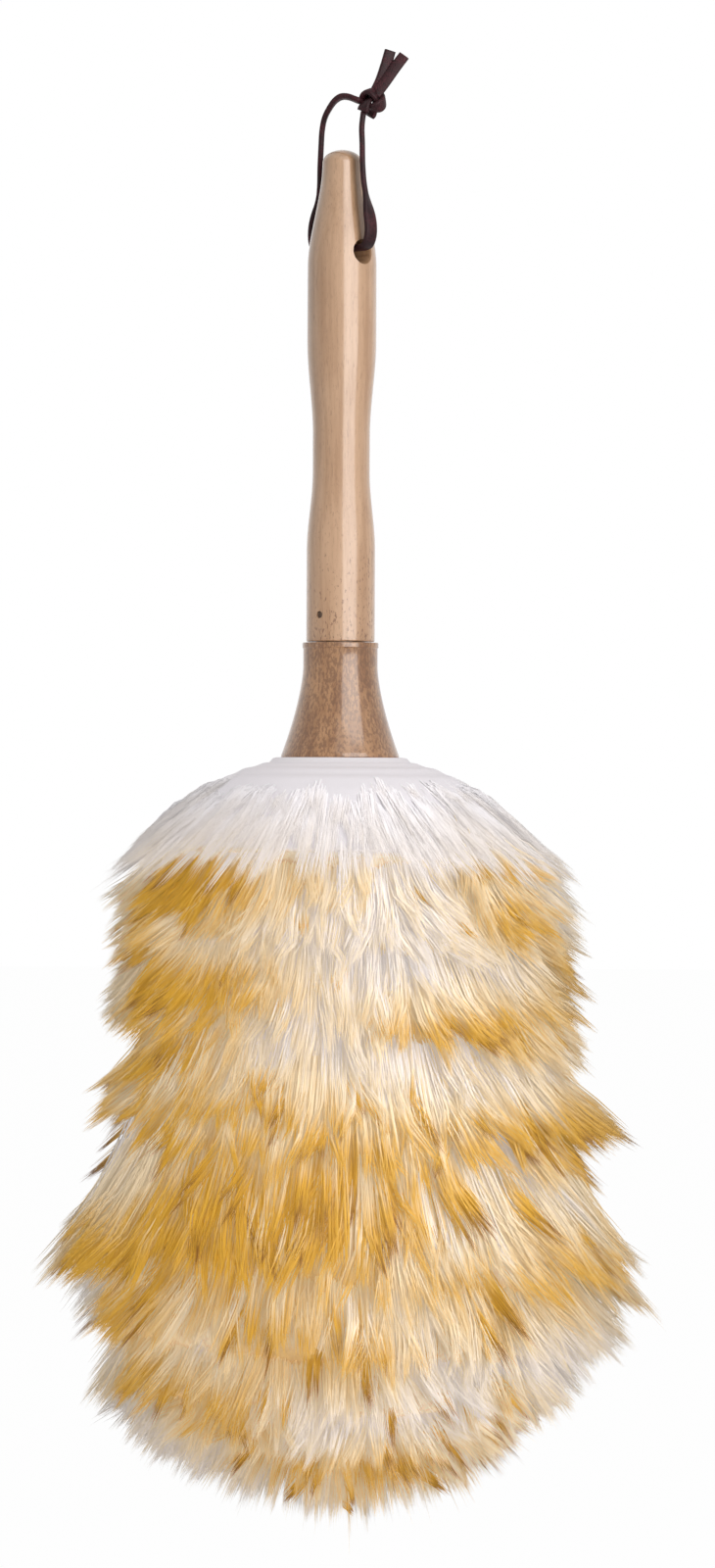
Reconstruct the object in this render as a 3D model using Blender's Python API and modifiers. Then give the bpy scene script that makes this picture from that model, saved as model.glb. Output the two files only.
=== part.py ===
"""Lambswool duster with a turned beech handle, hanging from its leather thong.

Units are metres and +Z is up. The origin is the point that the thong hangs from, the inner top of
its arch, and X runs along the cross hole through the handle's neck. The handle, its ferrule, the
core rod and the wool swing as one on the thong, about the axis of that cross hole.
"""

import math

import bmesh
import bpy
from mathutils import Matrix, Vector

# Clearances, the cutters' overrun, and how near two points are joined
GAP = 0.0003
OVERRUN = 0.0020
MERGE_DISTANCE = 0.00001

# Handle, listed from its domed top down to its foot
HANDLE_TOP_DROP = 0.0184
DOME_HEIGHT = 0.0050
NECK_LENGTH = 0.0389
GRIP_LENGTH = 0.0266
GRIP_TAPER_LENGTH = 0.0345
WAIST_LENGTH = 0.0135
WAIST_TAPER_LENGTH = 0.0285
FOOT_LENGTH = 0.0337
NECK_RADIUS = 0.0074
GRIP_RADIUS = 0.0127
WAIST_RADIUS = 0.0105
FOOT_RADIUS = 0.0126
TENON_RADIUS = 0.0090
TENON_LENGTH = 0.0240
HOLE_DROP = 0.0379
HOLE_RADIUS = 0.0040

# Ferrule, a flared wooden collar on the handle's tenon
FERRULE_TOP_RADIUS = 0.0140
FERRULE_RIM_RADIUS = 0.0217
FERRULE_HEIGHT = 0.0425
FERRULE_COLLAR_HEIGHT = 0.0090
FERRULE_ROUND = 0.0006
FLARE_POWER = 1.5

# Core rod, and the brad that locks it in the handle's foot
ROD_RADIUS = 0.0060
ROD_CHAMFER = 0.0008
SOCKET_RISE = 0.0360
CORE_LENGTH = 0.2250
BRAD_RADIUS = 0.0008
BRAD_HEAD_RADIUS = 0.0012
BRAD_HEAD_HEIGHT = 0.0010
BRAD_SUNK = 0.0004
BRAD_LENGTH = 0.0140
BRAD_RISE = 0.0097
BRAD_ANGLE = math.radians(-78.0)

# Sheepskin strip wound down the rod, and the round patch on the rod's end
STRIP_TURNS = 8
STRIP_END_WIDTH = 0.0040
HIDE_THICKNESS = 0.0020
TURN_GAP = 0.0006
PATCH_RADIUS = 0.0140

# Tacks that hold the strip's two ends and the patch
TACK_HEAD_RADIUS = 0.0022
TACK_HEAD_HEIGHT = 0.0006
TACK_RADIUS = 0.0006
TACK_LENGTH = 0.0060
TOP_TACK_TURN = 0.5
END_TACK_TURN = 7.5

# Wool pile. It leaves the hide level, droops outward, hangs over past the core's end, and is
# trimmed to one outline.
WOOL_OVERHANG = 0.0530
WOOL_UPPER_RADIUS = 0.0880
WOOL_FULL_RADIUS = 0.1090
WOOL_DROOP = 0.0420
DROOP_POWER = 1.7
SWELL_START = 0.1050
SWELL_END = 0.1900
UPPER_TIER_STEP = 0.0100
FULL_TIER_STEP = 0.0170

# Leather thong, a flat lace
LACE_WIDTH = 0.0052
LACE_THICKNESS = 0.0021
LACE_CHAMFER = 0.0004
LACE_TWIST = math.radians(50.0)
KNOT_CENTRE = (0.0126, 0.0033, -0.0020)
KNOT_RADII = (0.0047, 0.0040, 0.0060)
KNOT_ANGLE = math.radians(50.0)

# Facets
TURNED_STEPS = 36
SMALL_STEPS = 12
WOOL_STEPS_PER_TURN = 30
HIDE_STEPS_PER_TURN = 24
LACE_STEP = 0.0024

# Colours and roughness, from the photograph
BEECH = ((0.60, 0.38, 0.24), 0.35)
FERRULE_BEECH = ((0.52, 0.29, 0.15), 0.38)
BIRCH = ((0.66, 0.48, 0.31), 0.60)
STEEL = ((0.45, 0.44, 0.43), 0.35)
HIDE = ((0.72, 0.60, 0.46), 0.80)
WOOL = ((0.86, 0.73, 0.52), 0.90)
WOOL_TIP = ((0.82, 0.66, 0.42), 0.90)
LEATHER = ((0.045, 0.020, 0.022), 0.50)

# Levels that follow from the sizes above, as heights from the origin
HANDLE_LENGTH = (
    DOME_HEIGHT + NECK_LENGTH + GRIP_LENGTH + GRIP_TAPER_LENGTH
    + WAIST_LENGTH + WAIST_TAPER_LENGTH + FOOT_LENGTH
)
HANDLE_TOP_Z = -HANDLE_TOP_DROP
HOLE_Z = HANDLE_TOP_Z - HOLE_DROP
FOOT_Z = HANDLE_TOP_Z - HANDLE_LENGTH
FERRULE_TOP_Z = FOOT_Z - GAP
RIM_Z = FERRULE_TOP_Z - FERRULE_HEIGHT
HEAD_TOP_Z = RIM_Z - GAP
ROD_TOP_Z = FOOT_Z + SOCKET_RISE - GAP
ROD_END_Z = HEAD_TOP_Z - CORE_LENGTH
PITCH = (CORE_LENGTH - STRIP_END_WIDTH) / (STRIP_TURNS - 1)
HIDE_INNER_RADIUS = ROD_RADIUS + GAP
HIDE_OUTER_RADIUS = HIDE_INNER_RADIUS + HIDE_THICKNESS
WOOL_INNER_RADIUS = HIDE_OUTER_RADIUS + GAP
LAST_TURN = STRIP_TURNS - (STRIP_END_WIDTH + TURN_GAP) / PITCH
WOOL_LENGTH = CORE_LENGTH + WOOL_OVERHANG
PATCH_TOP_DROP = CORE_LENGTH + GAP
PATCH_END_DROP = PATCH_TOP_DROP + HIDE_THICKNESS

# Route of the thong's middle line, from the knot over the arch, down the left leg, through the
# cross hole and up the right leg to the knot. Each point is (x, y, z).
THONG_ROUTE = (
    (0.0096, 0.0010, -0.0014),
    (0.0070, 0.0005, -0.0005),
    (0.0034, 0.0001, 0.0007),
    (-0.0006, 0.0000, 0.0011),
    (-0.0046, 0.0000, -0.0001),
    (-0.0082, 0.0000, -0.0030),
    (-0.0106, 0.0000, -0.0062),
    (-0.0119, 0.0000, -0.0105),
    (-0.0124, 0.0000, -0.0160),
    (-0.0129, 0.0000, -0.0240),
    (-0.0131, 0.0000, -0.0310),
    (-0.0139, 0.0000, -0.0370),
    (-0.0152, 0.0000, -0.0420),
    (-0.0162, 0.0000, -0.0470),
    (-0.0160, 0.0000, -0.0512),
    (-0.0143, 0.0000, -0.0542),
    (-0.0112, 0.0000, -0.0550),
    (-0.0050, 0.0000, -0.0550),
    (0.0050, 0.0000, -0.0550),
    (0.0112, 0.0000, -0.0550),
    (0.0143, 0.0000, -0.0542),
    (0.0160, 0.0000, -0.0512),
    (0.0162, 0.0000, -0.0470),
    (0.0150, 0.0000, -0.0415),
    (0.0136, 0.0000, -0.0365),
    (0.0122, 0.0000, -0.0310),
    (0.0114, 0.0000, -0.0240),
    (0.0112, 0.0000, -0.0170),
    (0.0109, 0.0000, -0.0110),
    (0.0108, 0.0008, -0.0056),
)
# The lace lies flat in the hole and turns edge-on to the arch between these two heights, and back
# again over the arch above the third.
TWIST_START_Z = -0.0460
TWIST_END_Z = -0.0330
ARCH_TWIST_Z = -0.0110
ARCH_TOP_Z = -0.0020

# The lace's two cut ends, from inside the knot to their tips
TAIL_ROUTES = (
    (
        (0.0132, 0.0038, 0.0010),
        (0.0148, 0.0056, 0.0060),
        (0.0160, 0.0072, 0.0120),
        (0.0169, 0.0084, 0.0172),
    ),
    (
        (0.0142, 0.0034, 0.0006),
        (0.0166, 0.0064, 0.0058),
        (0.0186, 0.0094, 0.0110),
        (0.0203, 0.0122, 0.0154),
    ),
)
TAIL_TWIST = math.radians(20.0)


def clear_scene():
    """Remove whatever the new file starts with."""
    for obj in list(bpy.data.objects):
        bpy.data.objects.remove(obj, do_unlink=True)


def make_collection(name):
    collection = bpy.data.collections.new(name)
    bpy.context.scene.collection.children.link(collection)
    return collection


def make_material(name, colour, roughness, metallic=0.0):
    """One Principled material."""
    material = bpy.data.materials.new(name)
    material.use_nodes = True
    shader = material.node_tree.nodes["Principled BSDF"]
    shader.inputs["Base Color"].default_value = (*colour, 1.0)
    shader.inputs["Roughness"].default_value = roughness
    shader.inputs["Metallic"].default_value = metallic
    material.diffuse_color = (*colour, 1.0)
    return material


def add_object(name, mesh, collection, finish=None, metallic=0.0):
    """Put a mesh in a collection, shaded smooth and with a material of its own."""
    obj = bpy.data.objects.new(name, mesh)
    collection.objects.link(obj)
    if finish:
        mesh.materials.append(make_material(name, finish[0], finish[1], metallic))
        mesh.shade_smooth()
    return obj


def mesh_from(bm, name):
    mesh = bpy.data.meshes.new(name)
    bm.to_mesh(mesh)
    bm.free()
    return mesh


def turned(name, outline, steps, collection, finish=None, metallic=0.0, closed=False):
    """Turn an outline of (radius, height) about Z. It runs down the outer side first, and a piece
    with a bore is closed back along its inner side."""
    bm = bmesh.new()
    verts = [bm.verts.new((radius, 0.0, height)) for radius, height in outline]
    for first, second in zip(verts, verts[1:]):
        bm.edges.new((first, second))
    if closed:
        bm.edges.new((verts[-1], verts[0]))
    obj = add_object(name, mesh_from(bm, name), collection, finish, metallic)
    screw = obj.modifiers.new("Turn", "SCREW")
    screw.steps = steps
    screw.render_steps = steps
    screw.use_merge_vertices = True
    screw.merge_threshold = MERGE_DISTANCE
    screw.use_smooth_shade = True
    return obj


def cutter(obj):
    """Mark an object as a cutter, which only shapes other pieces."""
    obj.hide_render = True
    obj.display_type = "WIRE"
    return obj


def cut(obj, tool):
    """Cut one piece with a cutter."""
    boolean = obj.modifiers.new("Cut " + tool.name, "BOOLEAN")
    boolean.operation = "DIFFERENCE"
    boolean.solver = "EXACT"
    boolean.object = tool


def smoothstep(share):
    share = min(max(share, 0.0), 1.0)
    return share * share * (3.0 - 2.0 * share)


def blend(start, end, share):
    return start + (end - start) * share


def dome_points(radius, height, top_z, count):
    """Quarter ellipse from the axis at top_z out to the full radius."""
    points = []
    for i in range(count):
        angle = math.pi / 2 * i / count
        points.append((radius * math.sin(angle), top_z - height * (1.0 - math.cos(angle))))
    return points


def swept_points(start, end, count):
    """Points of an S-shaped stretch between two (radius, height) ends, without the last one."""
    points = []
    for i in range(count):
        share = i / count
        points.append((blend(start[0], end[0], smoothstep(share)), blend(start[1], end[1], share)))
    return points


def handle_outline():
    """The handle's outline: dome, neck, grip, waist, foot, tenon and the rod's socket."""
    neck_z = HANDLE_TOP_Z - DOME_HEIGHT
    grip_z = neck_z - NECK_LENGTH
    grip_end_z = grip_z - GRIP_LENGTH
    waist_z = grip_end_z - GRIP_TAPER_LENGTH
    waist_end_z = waist_z - WAIST_LENGTH
    foot_start_z = waist_end_z - WAIST_TAPER_LENGTH
    tenon_end_z = FOOT_Z - TENON_LENGTH
    socket_radius = ROD_RADIUS + GAP
    outline = dome_points(NECK_RADIUS, DOME_HEIGHT, HANDLE_TOP_Z, 6)
    outline += swept_points((NECK_RADIUS, neck_z), (GRIP_RADIUS, grip_z), 8)
    outline += [(GRIP_RADIUS, grip_z)]
    outline += swept_points((GRIP_RADIUS, grip_end_z), (WAIST_RADIUS, waist_z), 6)
    outline += [(WAIST_RADIUS, waist_z)]
    outline += swept_points((WAIST_RADIUS, waist_end_z), (FOOT_RADIUS, foot_start_z), 6)
    outline += [(FOOT_RADIUS, foot_start_z), (FOOT_RADIUS, FOOT_Z)]
    outline += [(TENON_RADIUS, FOOT_Z), (TENON_RADIUS, tenon_end_z), (socket_radius, tenon_end_z)]
    outline += [(socket_radius, FOOT_Z + SOCKET_RISE), (0.0, FOOT_Z + SOCKET_RISE)]
    return outline


def ferrule_outline():
    """The ferrule: a short straight collar, a flare, and a stepped bore for tenon and rod."""
    collar_end_z = FERRULE_TOP_Z - FERRULE_COLLAR_HEIGHT
    flare_height = FERRULE_HEIGHT - FERRULE_COLLAR_HEIGHT - 2.0 * FERRULE_ROUND
    flare_end_z = collar_end_z - flare_height
    bore_step_z = FOOT_Z - TENON_LENGTH - GAP
    tenon_bore = TENON_RADIUS + GAP
    rod_bore = ROD_RADIUS + GAP
    outline = [
        (tenon_bore, FERRULE_TOP_Z),
        (FERRULE_TOP_RADIUS - FERRULE_ROUND, FERRULE_TOP_Z),
        (FERRULE_TOP_RADIUS, FERRULE_TOP_Z - FERRULE_ROUND),
    ]
    count = 8
    for i in range(count + 1):
        share = i / count
        radius = blend(FERRULE_TOP_RADIUS, FERRULE_RIM_RADIUS, share ** FLARE_POWER)
        outline.append((radius, blend(collar_end_z, flare_end_z, share)))
    outline += [
        (FERRULE_RIM_RADIUS, RIM_Z + FERRULE_ROUND),
        (FERRULE_RIM_RADIUS - FERRULE_ROUND, RIM_Z),
        (rod_bore, RIM_Z),
        (rod_bore, bore_step_z),
        (tenon_bore, bore_step_z),
    ]
    return outline


def rod_outline():
    return [
        (0.0, ROD_TOP_Z),
        (ROD_RADIUS - ROD_CHAMFER, ROD_TOP_Z),
        (ROD_RADIUS, ROD_TOP_Z - ROD_CHAMFER),
        (ROD_RADIUS, ROD_END_Z + ROD_CHAMFER),
        (ROD_RADIUS - ROD_CHAMFER, ROD_END_Z),
        (0.0, ROD_END_Z),
    ]


def nail_outline(head_radius, head_height, radius, length):
    """A nail with its head's top at height zero and its point down."""
    point_height = 2.0 * radius
    return [
        (0.0, 0.0),
        (head_radius, 0.0),
        (head_radius, -head_height),
        (radius, -head_height),
        (radius, point_height - length),
        (0.0, -length),
    ]


def nail_pocket_outline(head_radius, head_height, radius, length):
    """The room for that nail, open above its head."""
    return [
        (0.0, OVERRUN),
        (head_radius + GAP, OVERRUN),
        (head_radius + GAP, -head_height - GAP),
        (radius + GAP, -head_height - GAP),
        (radius + GAP, -length - GAP),
        (0.0, -length - GAP),
    ]


def radial_place(angle, radius, height):
    """Matrix that sends a nail's +Z outward along a radius at this angle and height."""
    turn = Matrix.Rotation(angle, 4, "Z") @ Matrix.Rotation(math.pi / 2, 4, "Y")
    out = Vector((math.cos(angle), math.sin(angle), 0.0)) * radius
    return Matrix.Translation(out + Vector((0.0, 0.0, height))) @ turn


def strip_top(turn):
    """Drop of the wound strip's upper edge after this many turns."""
    return max(0.0, STRIP_END_WIDTH + (turn - 1.0) * PITCH + TURN_GAP)


def strip_bottom(turn):
    """Drop of the wound strip's lower edge. The last turn tapers to the rod's end."""
    return STRIP_END_WIDTH + min(turn, STRIP_TURNS - 1.0) * PITCH


def droop(radius):
    """How far wool hangs below its root at this radius."""
    share = max(0.0, radius - FERRULE_RIM_RADIUS) / (WOOL_UPPER_RADIUS - FERRULE_RIM_RADIUS)
    return WOOL_DROOP * share ** DROOP_POWER


def wool_radius(drop):
    """Radius of the trimmed wool at this drop below the ferrule."""
    if drop < WOOL_DROOP:
        share = math.sin(math.pi / 2 * drop / WOOL_DROOP)
        return blend(FERRULE_RIM_RADIUS, WOOL_UPPER_RADIUS, share)
    if drop < SWELL_END:
        share = smoothstep((drop - SWELL_START) / (SWELL_END - SWELL_START))
        return blend(WOOL_UPPER_RADIUS, WOOL_FULL_RADIUS, share)
    share = min(1.0, (drop - SWELL_END) / (WOOL_LENGTH - SWELL_END))
    return WOOL_FULL_RADIUS * math.sqrt(1.0 - share * share)


def tip_radius(root_drop):
    """Radius where wool rooted at this drop meets the trimmed outline."""
    low, high = FERRULE_RIM_RADIUS, WOOL_FULL_RADIUS
    for _ in range(30):
        middle = (low + high) / 2.0
        if wool_radius(root_drop + droop(middle)) > middle:
            low = middle
        else:
            high = middle
    return low


def hide_section(turn):
    """Section of the hide strip as (radius, drop) points."""
    top, bottom = strip_top(turn), strip_bottom(turn)
    return [
        (HIDE_INNER_RADIUS, top),
        (HIDE_OUTER_RADIUS, top),
        (HIDE_OUTER_RADIUS, bottom),
        (HIDE_INNER_RADIUS, bottom),
    ]


def wool_section(turn):
    """Section of the strip's wool: it fans out between the drooping surfaces that start at the
    strip's two edges, and its lower edge stands out past the upper one, most on the swell."""
    top, bottom = strip_top(turn), strip_bottom(turn)
    outer = tip_radius(bottom)
    swell = smoothstep((bottom + droop(outer) - SWELL_START) / (SWELL_END - SWELL_START))
    step = blend(UPPER_TIER_STEP, FULL_TIER_STEP, swell)
    upper = max(WOOL_INNER_RADIUS + step, outer - step)
    count = 6
    section = [(WOOL_INNER_RADIUS, top)]
    for i in range(count + 1):
        radius = blend(FERRULE_RIM_RADIUS, upper, i / count)
        section.append((radius, top + droop(radius)))
    for i in range(count + 1):
        radius = blend(outer, FERRULE_RIM_RADIUS, i / count)
        section.append((radius, bottom + droop(radius)))
    section.append((WOOL_INNER_RADIUS, bottom))
    return section


def wound(name, section_at, steps_per_turn, collection, finish):
    """Loft a section that changes as it winds down about Z, and close both ends."""
    bm = bmesh.new()
    rings = []
    for step in range(math.floor(LAST_TURN * steps_per_turn) + 1):
        turn = step / steps_per_turn
        angle = 2.0 * math.pi * turn
        rings.append([
            bm.verts.new((radius * math.cos(angle), radius * math.sin(angle), HEAD_TOP_Z - drop))
            for radius, drop in section_at(turn)
        ])
    for ring, following in zip(rings, rings[1:]):
        count = len(ring)
        for i in range(count):
            j = (i + 1) % count
            bm.faces.new((ring[i], ring[j], following[j], following[i]))
    bm.faces.new(list(reversed(rings[0])))
    bm.faces.new(rings[-1])
    bmesh.ops.recalc_face_normals(bm, faces=bm.faces)
    bmesh.ops.triangulate(bm, faces=[face for face in bm.faces if len(face.verts) > 4])
    return add_object(name, mesh_from(bm, name), collection, finish)


def patch_wool_outline():
    """The wool under the rod's end: its top droops under the last turn, its bottom is the outline."""
    root = PATCH_END_DROP + GAP
    rim_radius = tip_radius(root)
    count = 6
    outline = [(0.0, root), (FERRULE_RIM_RADIUS, root)]
    for i in range(1, count + 1):
        radius = blend(FERRULE_RIM_RADIUS, rim_radius, i / count)
        outline.append((radius, root + droop(radius)))
    start = outline[-1][1]
    for i in range(1, count + 1):
        drop = blend(start, WOOL_LENGTH, math.sin(math.pi / 2 * i / count))
        outline.append((min(rim_radius, wool_radius(drop)), drop))
    return [(radius, HEAD_TOP_Z - drop) for radius, drop in outline]


def smooth_route(points, step):
    """Points about one step apart on a smooth curve through the given ones."""
    vectors = [Vector(point) for point in points]
    padded = [2.0 * vectors[0] - vectors[1], *vectors, 2.0 * vectors[-1] - vectors[-2]]
    route = []
    for i in range(1, len(padded) - 2):
        before, start, end, after = padded[i - 1:i + 3]
        count = max(1, round((end - start).length / step))
        for k in range(count):
            t = k / count
            route.append(0.5 * (
                2.0 * start + (end - before) * t
                + (2.0 * before - 5.0 * start + 4.0 * end - after) * t * t
                + (3.0 * start - before - 3.0 * end + after) * t * t * t
            ))
    route.append(vectors[-1])
    return route


def lace_twist(point):
    """Turn of the lace about its route: flat in the hole and over the arch, edge-on in between."""
    if point.z < ARCH_TWIST_Z:
        share = smoothstep((point.z - TWIST_START_Z) / (TWIST_END_Z - TWIST_START_Z))
    else:
        share = 1.0 - smoothstep((point.z - ARCH_TWIST_Z) / (ARCH_TOP_Z - ARCH_TWIST_Z))
    side = 1.0 if point.x > 0.0 else -1.0
    return side * LACE_TWIST * share


def lace_profile():
    """The lace's cross-section, a flat outline with small chamfers."""
    half_width, half_thickness = LACE_WIDTH / 2.0, LACE_THICKNESS / 2.0
    inner_width, inner_thickness = half_width - LACE_CHAMFER, half_thickness - LACE_CHAMFER
    corners = (
        (-inner_width, half_thickness), (inner_width, half_thickness),
        (half_width, inner_thickness), (half_width, -inner_thickness),
        (inner_width, -half_thickness), (-inner_width, -half_thickness),
        (-half_width, -inner_thickness), (-half_width, inner_thickness),
    )
    curve = bpy.data.curves.new("lace_profile", "CURVE")
    spline = curve.splines.new("POLY")
    spline.points.add(len(corners) - 1)
    for point, corner in zip(spline.points, corners):
        point.co = (*corner, 0.0, 1.0)
    spline.use_cyclic_u = True
    return bpy.data.objects.new("lace_profile", curve)


def lace_mesh(name, route, twists, profile, collection):
    """Sweep the lace's section along a route and return it as a closed mesh."""
    curve = bpy.data.curves.new(name + "_route", "CURVE")
    curve.dimensions = "3D"
    curve.twist_mode = "MINIMUM"
    curve.bevel_mode = "OBJECT"
    curve.bevel_object = profile
    curve.use_fill_caps = True
    spline = curve.splines.new("POLY")
    spline.points.add(len(route) - 1)
    for point, place, twist in zip(spline.points, route, twists):
        point.co = (*place, 1.0)
        point.tilt = twist
    swept = bpy.data.objects.new(name + "_route", curve)
    collection.objects.link(swept)
    bpy.context.view_layer.update()
    evaluated = swept.evaluated_get(bpy.context.evaluated_depsgraph_get())
    mesh = bpy.data.meshes.new_from_object(evaluated)
    bpy.data.objects.remove(swept, do_unlink=True)
    bm = bmesh.new()
    bm.from_mesh(mesh)
    bmesh.ops.remove_doubles(bm, verts=bm.verts, dist=MERGE_DISTANCE)
    bmesh.ops.recalc_face_normals(bm, faces=bm.faces)
    bm.to_mesh(mesh)
    bm.free()
    mesh.name = name
    return mesh


def knot_body(name, spare, collection, finish=None):
    """The knot's rounded lump, grown by a spare distance where it is used as a cutter."""
    bm = bmesh.new()
    bmesh.ops.create_uvsphere(bm, u_segments=16, v_segments=10, radius=1.0)
    radii = [radius + spare for radius in KNOT_RADII]
    place = (
        Matrix.Translation(KNOT_CENTRE)
        @ Matrix.Rotation(KNOT_ANGLE, 4, "Z")
        @ Matrix.Diagonal((*radii, 1.0))
    )
    bmesh.ops.transform(bm, matrix=place, verts=bm.verts)
    return add_object(name, mesh_from(bm, name), collection, finish)


def build_handle(parts, cutters):
    handle = turned("handle", handle_outline(), TURNED_STEPS, parts, BEECH)
    bm = bmesh.new()
    bmesh.ops.create_cone(
        bm, cap_ends=True, segments=24, radius1=HOLE_RADIUS, radius2=HOLE_RADIUS,
        depth=2.0 * (GRIP_RADIUS + OVERRUN),
    )
    hole = cutter(add_object("cross_hole", mesh_from(bm, "cross_hole"), cutters))
    hole.matrix_world = Matrix.Translation((0.0, 0.0, HOLE_Z)) @ Matrix.Rotation(math.pi / 2, 4, "Y")
    cut(handle, hole)
    return handle


def build_brad(parts, cutters, pierced):
    """The brad that locks the rod, and its hole in the pieces that it pierces."""
    sizes = (BRAD_HEAD_RADIUS, BRAD_HEAD_HEIGHT, BRAD_RADIUS, BRAD_LENGTH)
    place = radial_place(BRAD_ANGLE, FOOT_RADIUS - BRAD_SUNK, FOOT_Z + BRAD_RISE)
    brad = turned("rod_brad", nail_outline(*sizes), SMALL_STEPS, parts, STEEL, 1.0)
    brad.matrix_world = place
    hole = cutter(turned("brad_hole", nail_pocket_outline(*sizes), SMALL_STEPS, cutters))
    hole.matrix_world = place
    for piece in pierced:
        cut(piece, hole)


def build_tack(name, place, parts, cutters, pierced):
    """One tack and its hole in the pieces that it pierces."""
    sizes = (TACK_HEAD_RADIUS, TACK_HEAD_HEIGHT, TACK_RADIUS, TACK_LENGTH)
    tack = turned(name, nail_outline(*sizes), SMALL_STEPS, parts, STEEL, 1.0)
    tack.matrix_world = place
    hole = cutter(turned(name + "_hole", nail_pocket_outline(*sizes), SMALL_STEPS, cutters))
    hole.matrix_world = place
    for piece in pierced:
        cut(piece, hole)


def strip_tack_place(turn):
    """A tack in the middle of the strip's width, with its head on the hide."""
    drop = (strip_top(turn) + strip_bottom(turn)) / 2.0
    seat = HIDE_OUTER_RADIUS + GAP + TACK_HEAD_HEIGHT
    return radial_place(2.0 * math.pi * turn, seat, HEAD_TOP_Z - drop)


def build_head(parts, cutters, rod):
    """The wound strip, the end patch, their wool and their tacks."""
    hide = wound("hide_strip", hide_section, HIDE_STEPS_PER_TURN, parts, HIDE)
    wool = wound("strip_wool", wool_section, WOOL_STEPS_PER_TURN, parts, WOOL)
    patch_outline = [
        (0.0, HEAD_TOP_Z - PATCH_TOP_DROP),
        (PATCH_RADIUS, HEAD_TOP_Z - PATCH_TOP_DROP),
        (PATCH_RADIUS, HEAD_TOP_Z - PATCH_END_DROP),
        (0.0, HEAD_TOP_Z - PATCH_END_DROP),
    ]
    patch = turned("hide_patch", patch_outline, TURNED_STEPS, parts, HIDE)
    patch_wool = turned("patch_wool", patch_wool_outline(), TURNED_STEPS, parts, WOOL_TIP)
    build_tack("top_tack", strip_tack_place(TOP_TACK_TURN), parts, cutters, (hide, wool, rod))
    build_tack("end_tack", strip_tack_place(END_TACK_TURN), parts, cutters, (hide, wool, rod))
    under = Matrix.Translation((0.0, 0.0, HEAD_TOP_Z - PATCH_END_DROP - GAP - TACK_HEAD_HEIGHT))
    place = under @ Matrix.Rotation(math.pi, 4, "X")
    build_tack("patch_tack", place, parts, cutters, (patch, patch_wool, rod))


def build_thong(parts, cutters):
    """The lace's loop, and its knot with both tails."""
    profile = lace_profile()
    parts.objects.link(profile)
    route = smooth_route(THONG_ROUTE, LACE_STEP)
    mesh = lace_mesh("thong_loop", route, [lace_twist(point) for point in route], profile, parts)
    loop = add_object("thong_loop", mesh, parts, LEATHER)
    room = cutter(knot_body("knot_room", GAP, cutters))
    cut(loop, room)
    knot = knot_body("thong_knot", 0.0, parts, LEATHER)
    for number, points in enumerate(TAIL_ROUTES, start=1):
        name = f"thong_tail_{number}"
        tail_route = smooth_route(points, LACE_STEP)
        mesh = lace_mesh(name, tail_route, [TAIL_TWIST] * len(tail_route), profile, parts)
        tail = cutter(add_object(name, mesh, cutters))
        union = knot.modifiers.new("Join " + name, "BOOLEAN")
        union.operation = "UNION"
        union.solver = "EXACT"
        union.object = tail
    bpy.data.objects.remove(profile, do_unlink=True)


def main():
    clear_scene()
    parts = make_collection("lambswool_duster")
    cutters = make_collection("cutters")
    handle = build_handle(parts, cutters)
    turned("ferrule", ferrule_outline(), TURNED_STEPS, parts, FERRULE_BEECH, closed=True)
    rod = turned("core_rod", rod_outline(), TURNED_STEPS, parts, BIRCH)
    build_brad(parts, cutters, (handle, rod))
    build_head(parts, cutters, rod)
    build_thong(parts, cutters)


main()
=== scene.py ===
# %% [markdown]
# # A lambswool duster on its leather thong
# The CAD model says where every piece is. This file gives each piece the finish of the real one:
# turned and lacquered beech, a dark leather lace with its knot, and long silky wool in eight
# drooping tiers. Every cell does one small thing, and most print what they made.

# %% Load the frame
import math

import bmesh
import bpy
import numpy as np
from mathutils import Matrix, Vector


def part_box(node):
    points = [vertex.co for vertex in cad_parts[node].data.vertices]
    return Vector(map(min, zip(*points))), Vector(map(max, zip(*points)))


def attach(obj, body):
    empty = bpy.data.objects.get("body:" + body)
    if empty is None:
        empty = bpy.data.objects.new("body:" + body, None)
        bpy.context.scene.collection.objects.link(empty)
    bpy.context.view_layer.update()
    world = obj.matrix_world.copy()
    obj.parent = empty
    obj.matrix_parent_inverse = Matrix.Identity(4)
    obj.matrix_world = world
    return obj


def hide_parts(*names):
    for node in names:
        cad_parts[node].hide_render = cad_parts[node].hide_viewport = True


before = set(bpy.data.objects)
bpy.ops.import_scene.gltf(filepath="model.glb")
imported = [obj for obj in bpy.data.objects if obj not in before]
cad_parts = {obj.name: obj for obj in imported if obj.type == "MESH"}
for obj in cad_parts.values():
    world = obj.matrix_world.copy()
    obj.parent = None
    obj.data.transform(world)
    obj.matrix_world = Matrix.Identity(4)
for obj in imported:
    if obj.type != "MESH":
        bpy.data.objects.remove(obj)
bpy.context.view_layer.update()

MM = 0.001

# %% [markdown]
# ## The camera
# The picture is 730 by 1600, taken level and from a little to the side, so that one mouth of the
# cross hole shows at the handle's right. A long lens keeps the upright lines parallel, which a short
# one from close by wouldn't. One pixel is 0.36 mm at the duster, which gives the height that the
# picture takes in, and from it the distance. The duster hangs a quarter of a degree out of true.

# %% Camera
PIXEL = 0.36 * MM
PICTURE = (730, 1600)
SIDE = math.radians(50)
ROLL = math.radians(0.25)
LENS, SENSOR = 135.0, 36.0
FARTHEST_SEEN = 50
HANG_POINT_PIXEL = (347, 102)

to_right = Vector((math.cos(SIDE), math.sin(SIDE), 0))
to_camera = Vector((math.sin(SIDE), -math.cos(SIDE), 0))
middle = (
    to_right * (PICTURE[0] / 2 - HANG_POINT_PIXEL[0]) * PIXEL
    - Vector((0, 0, 1)) * (PICTURE[1] / 2 - HANG_POINT_PIXEL[1]) * PIXEL
)
distance = PICTURE[1] * PIXEL * LENS / SENSOR

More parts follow.
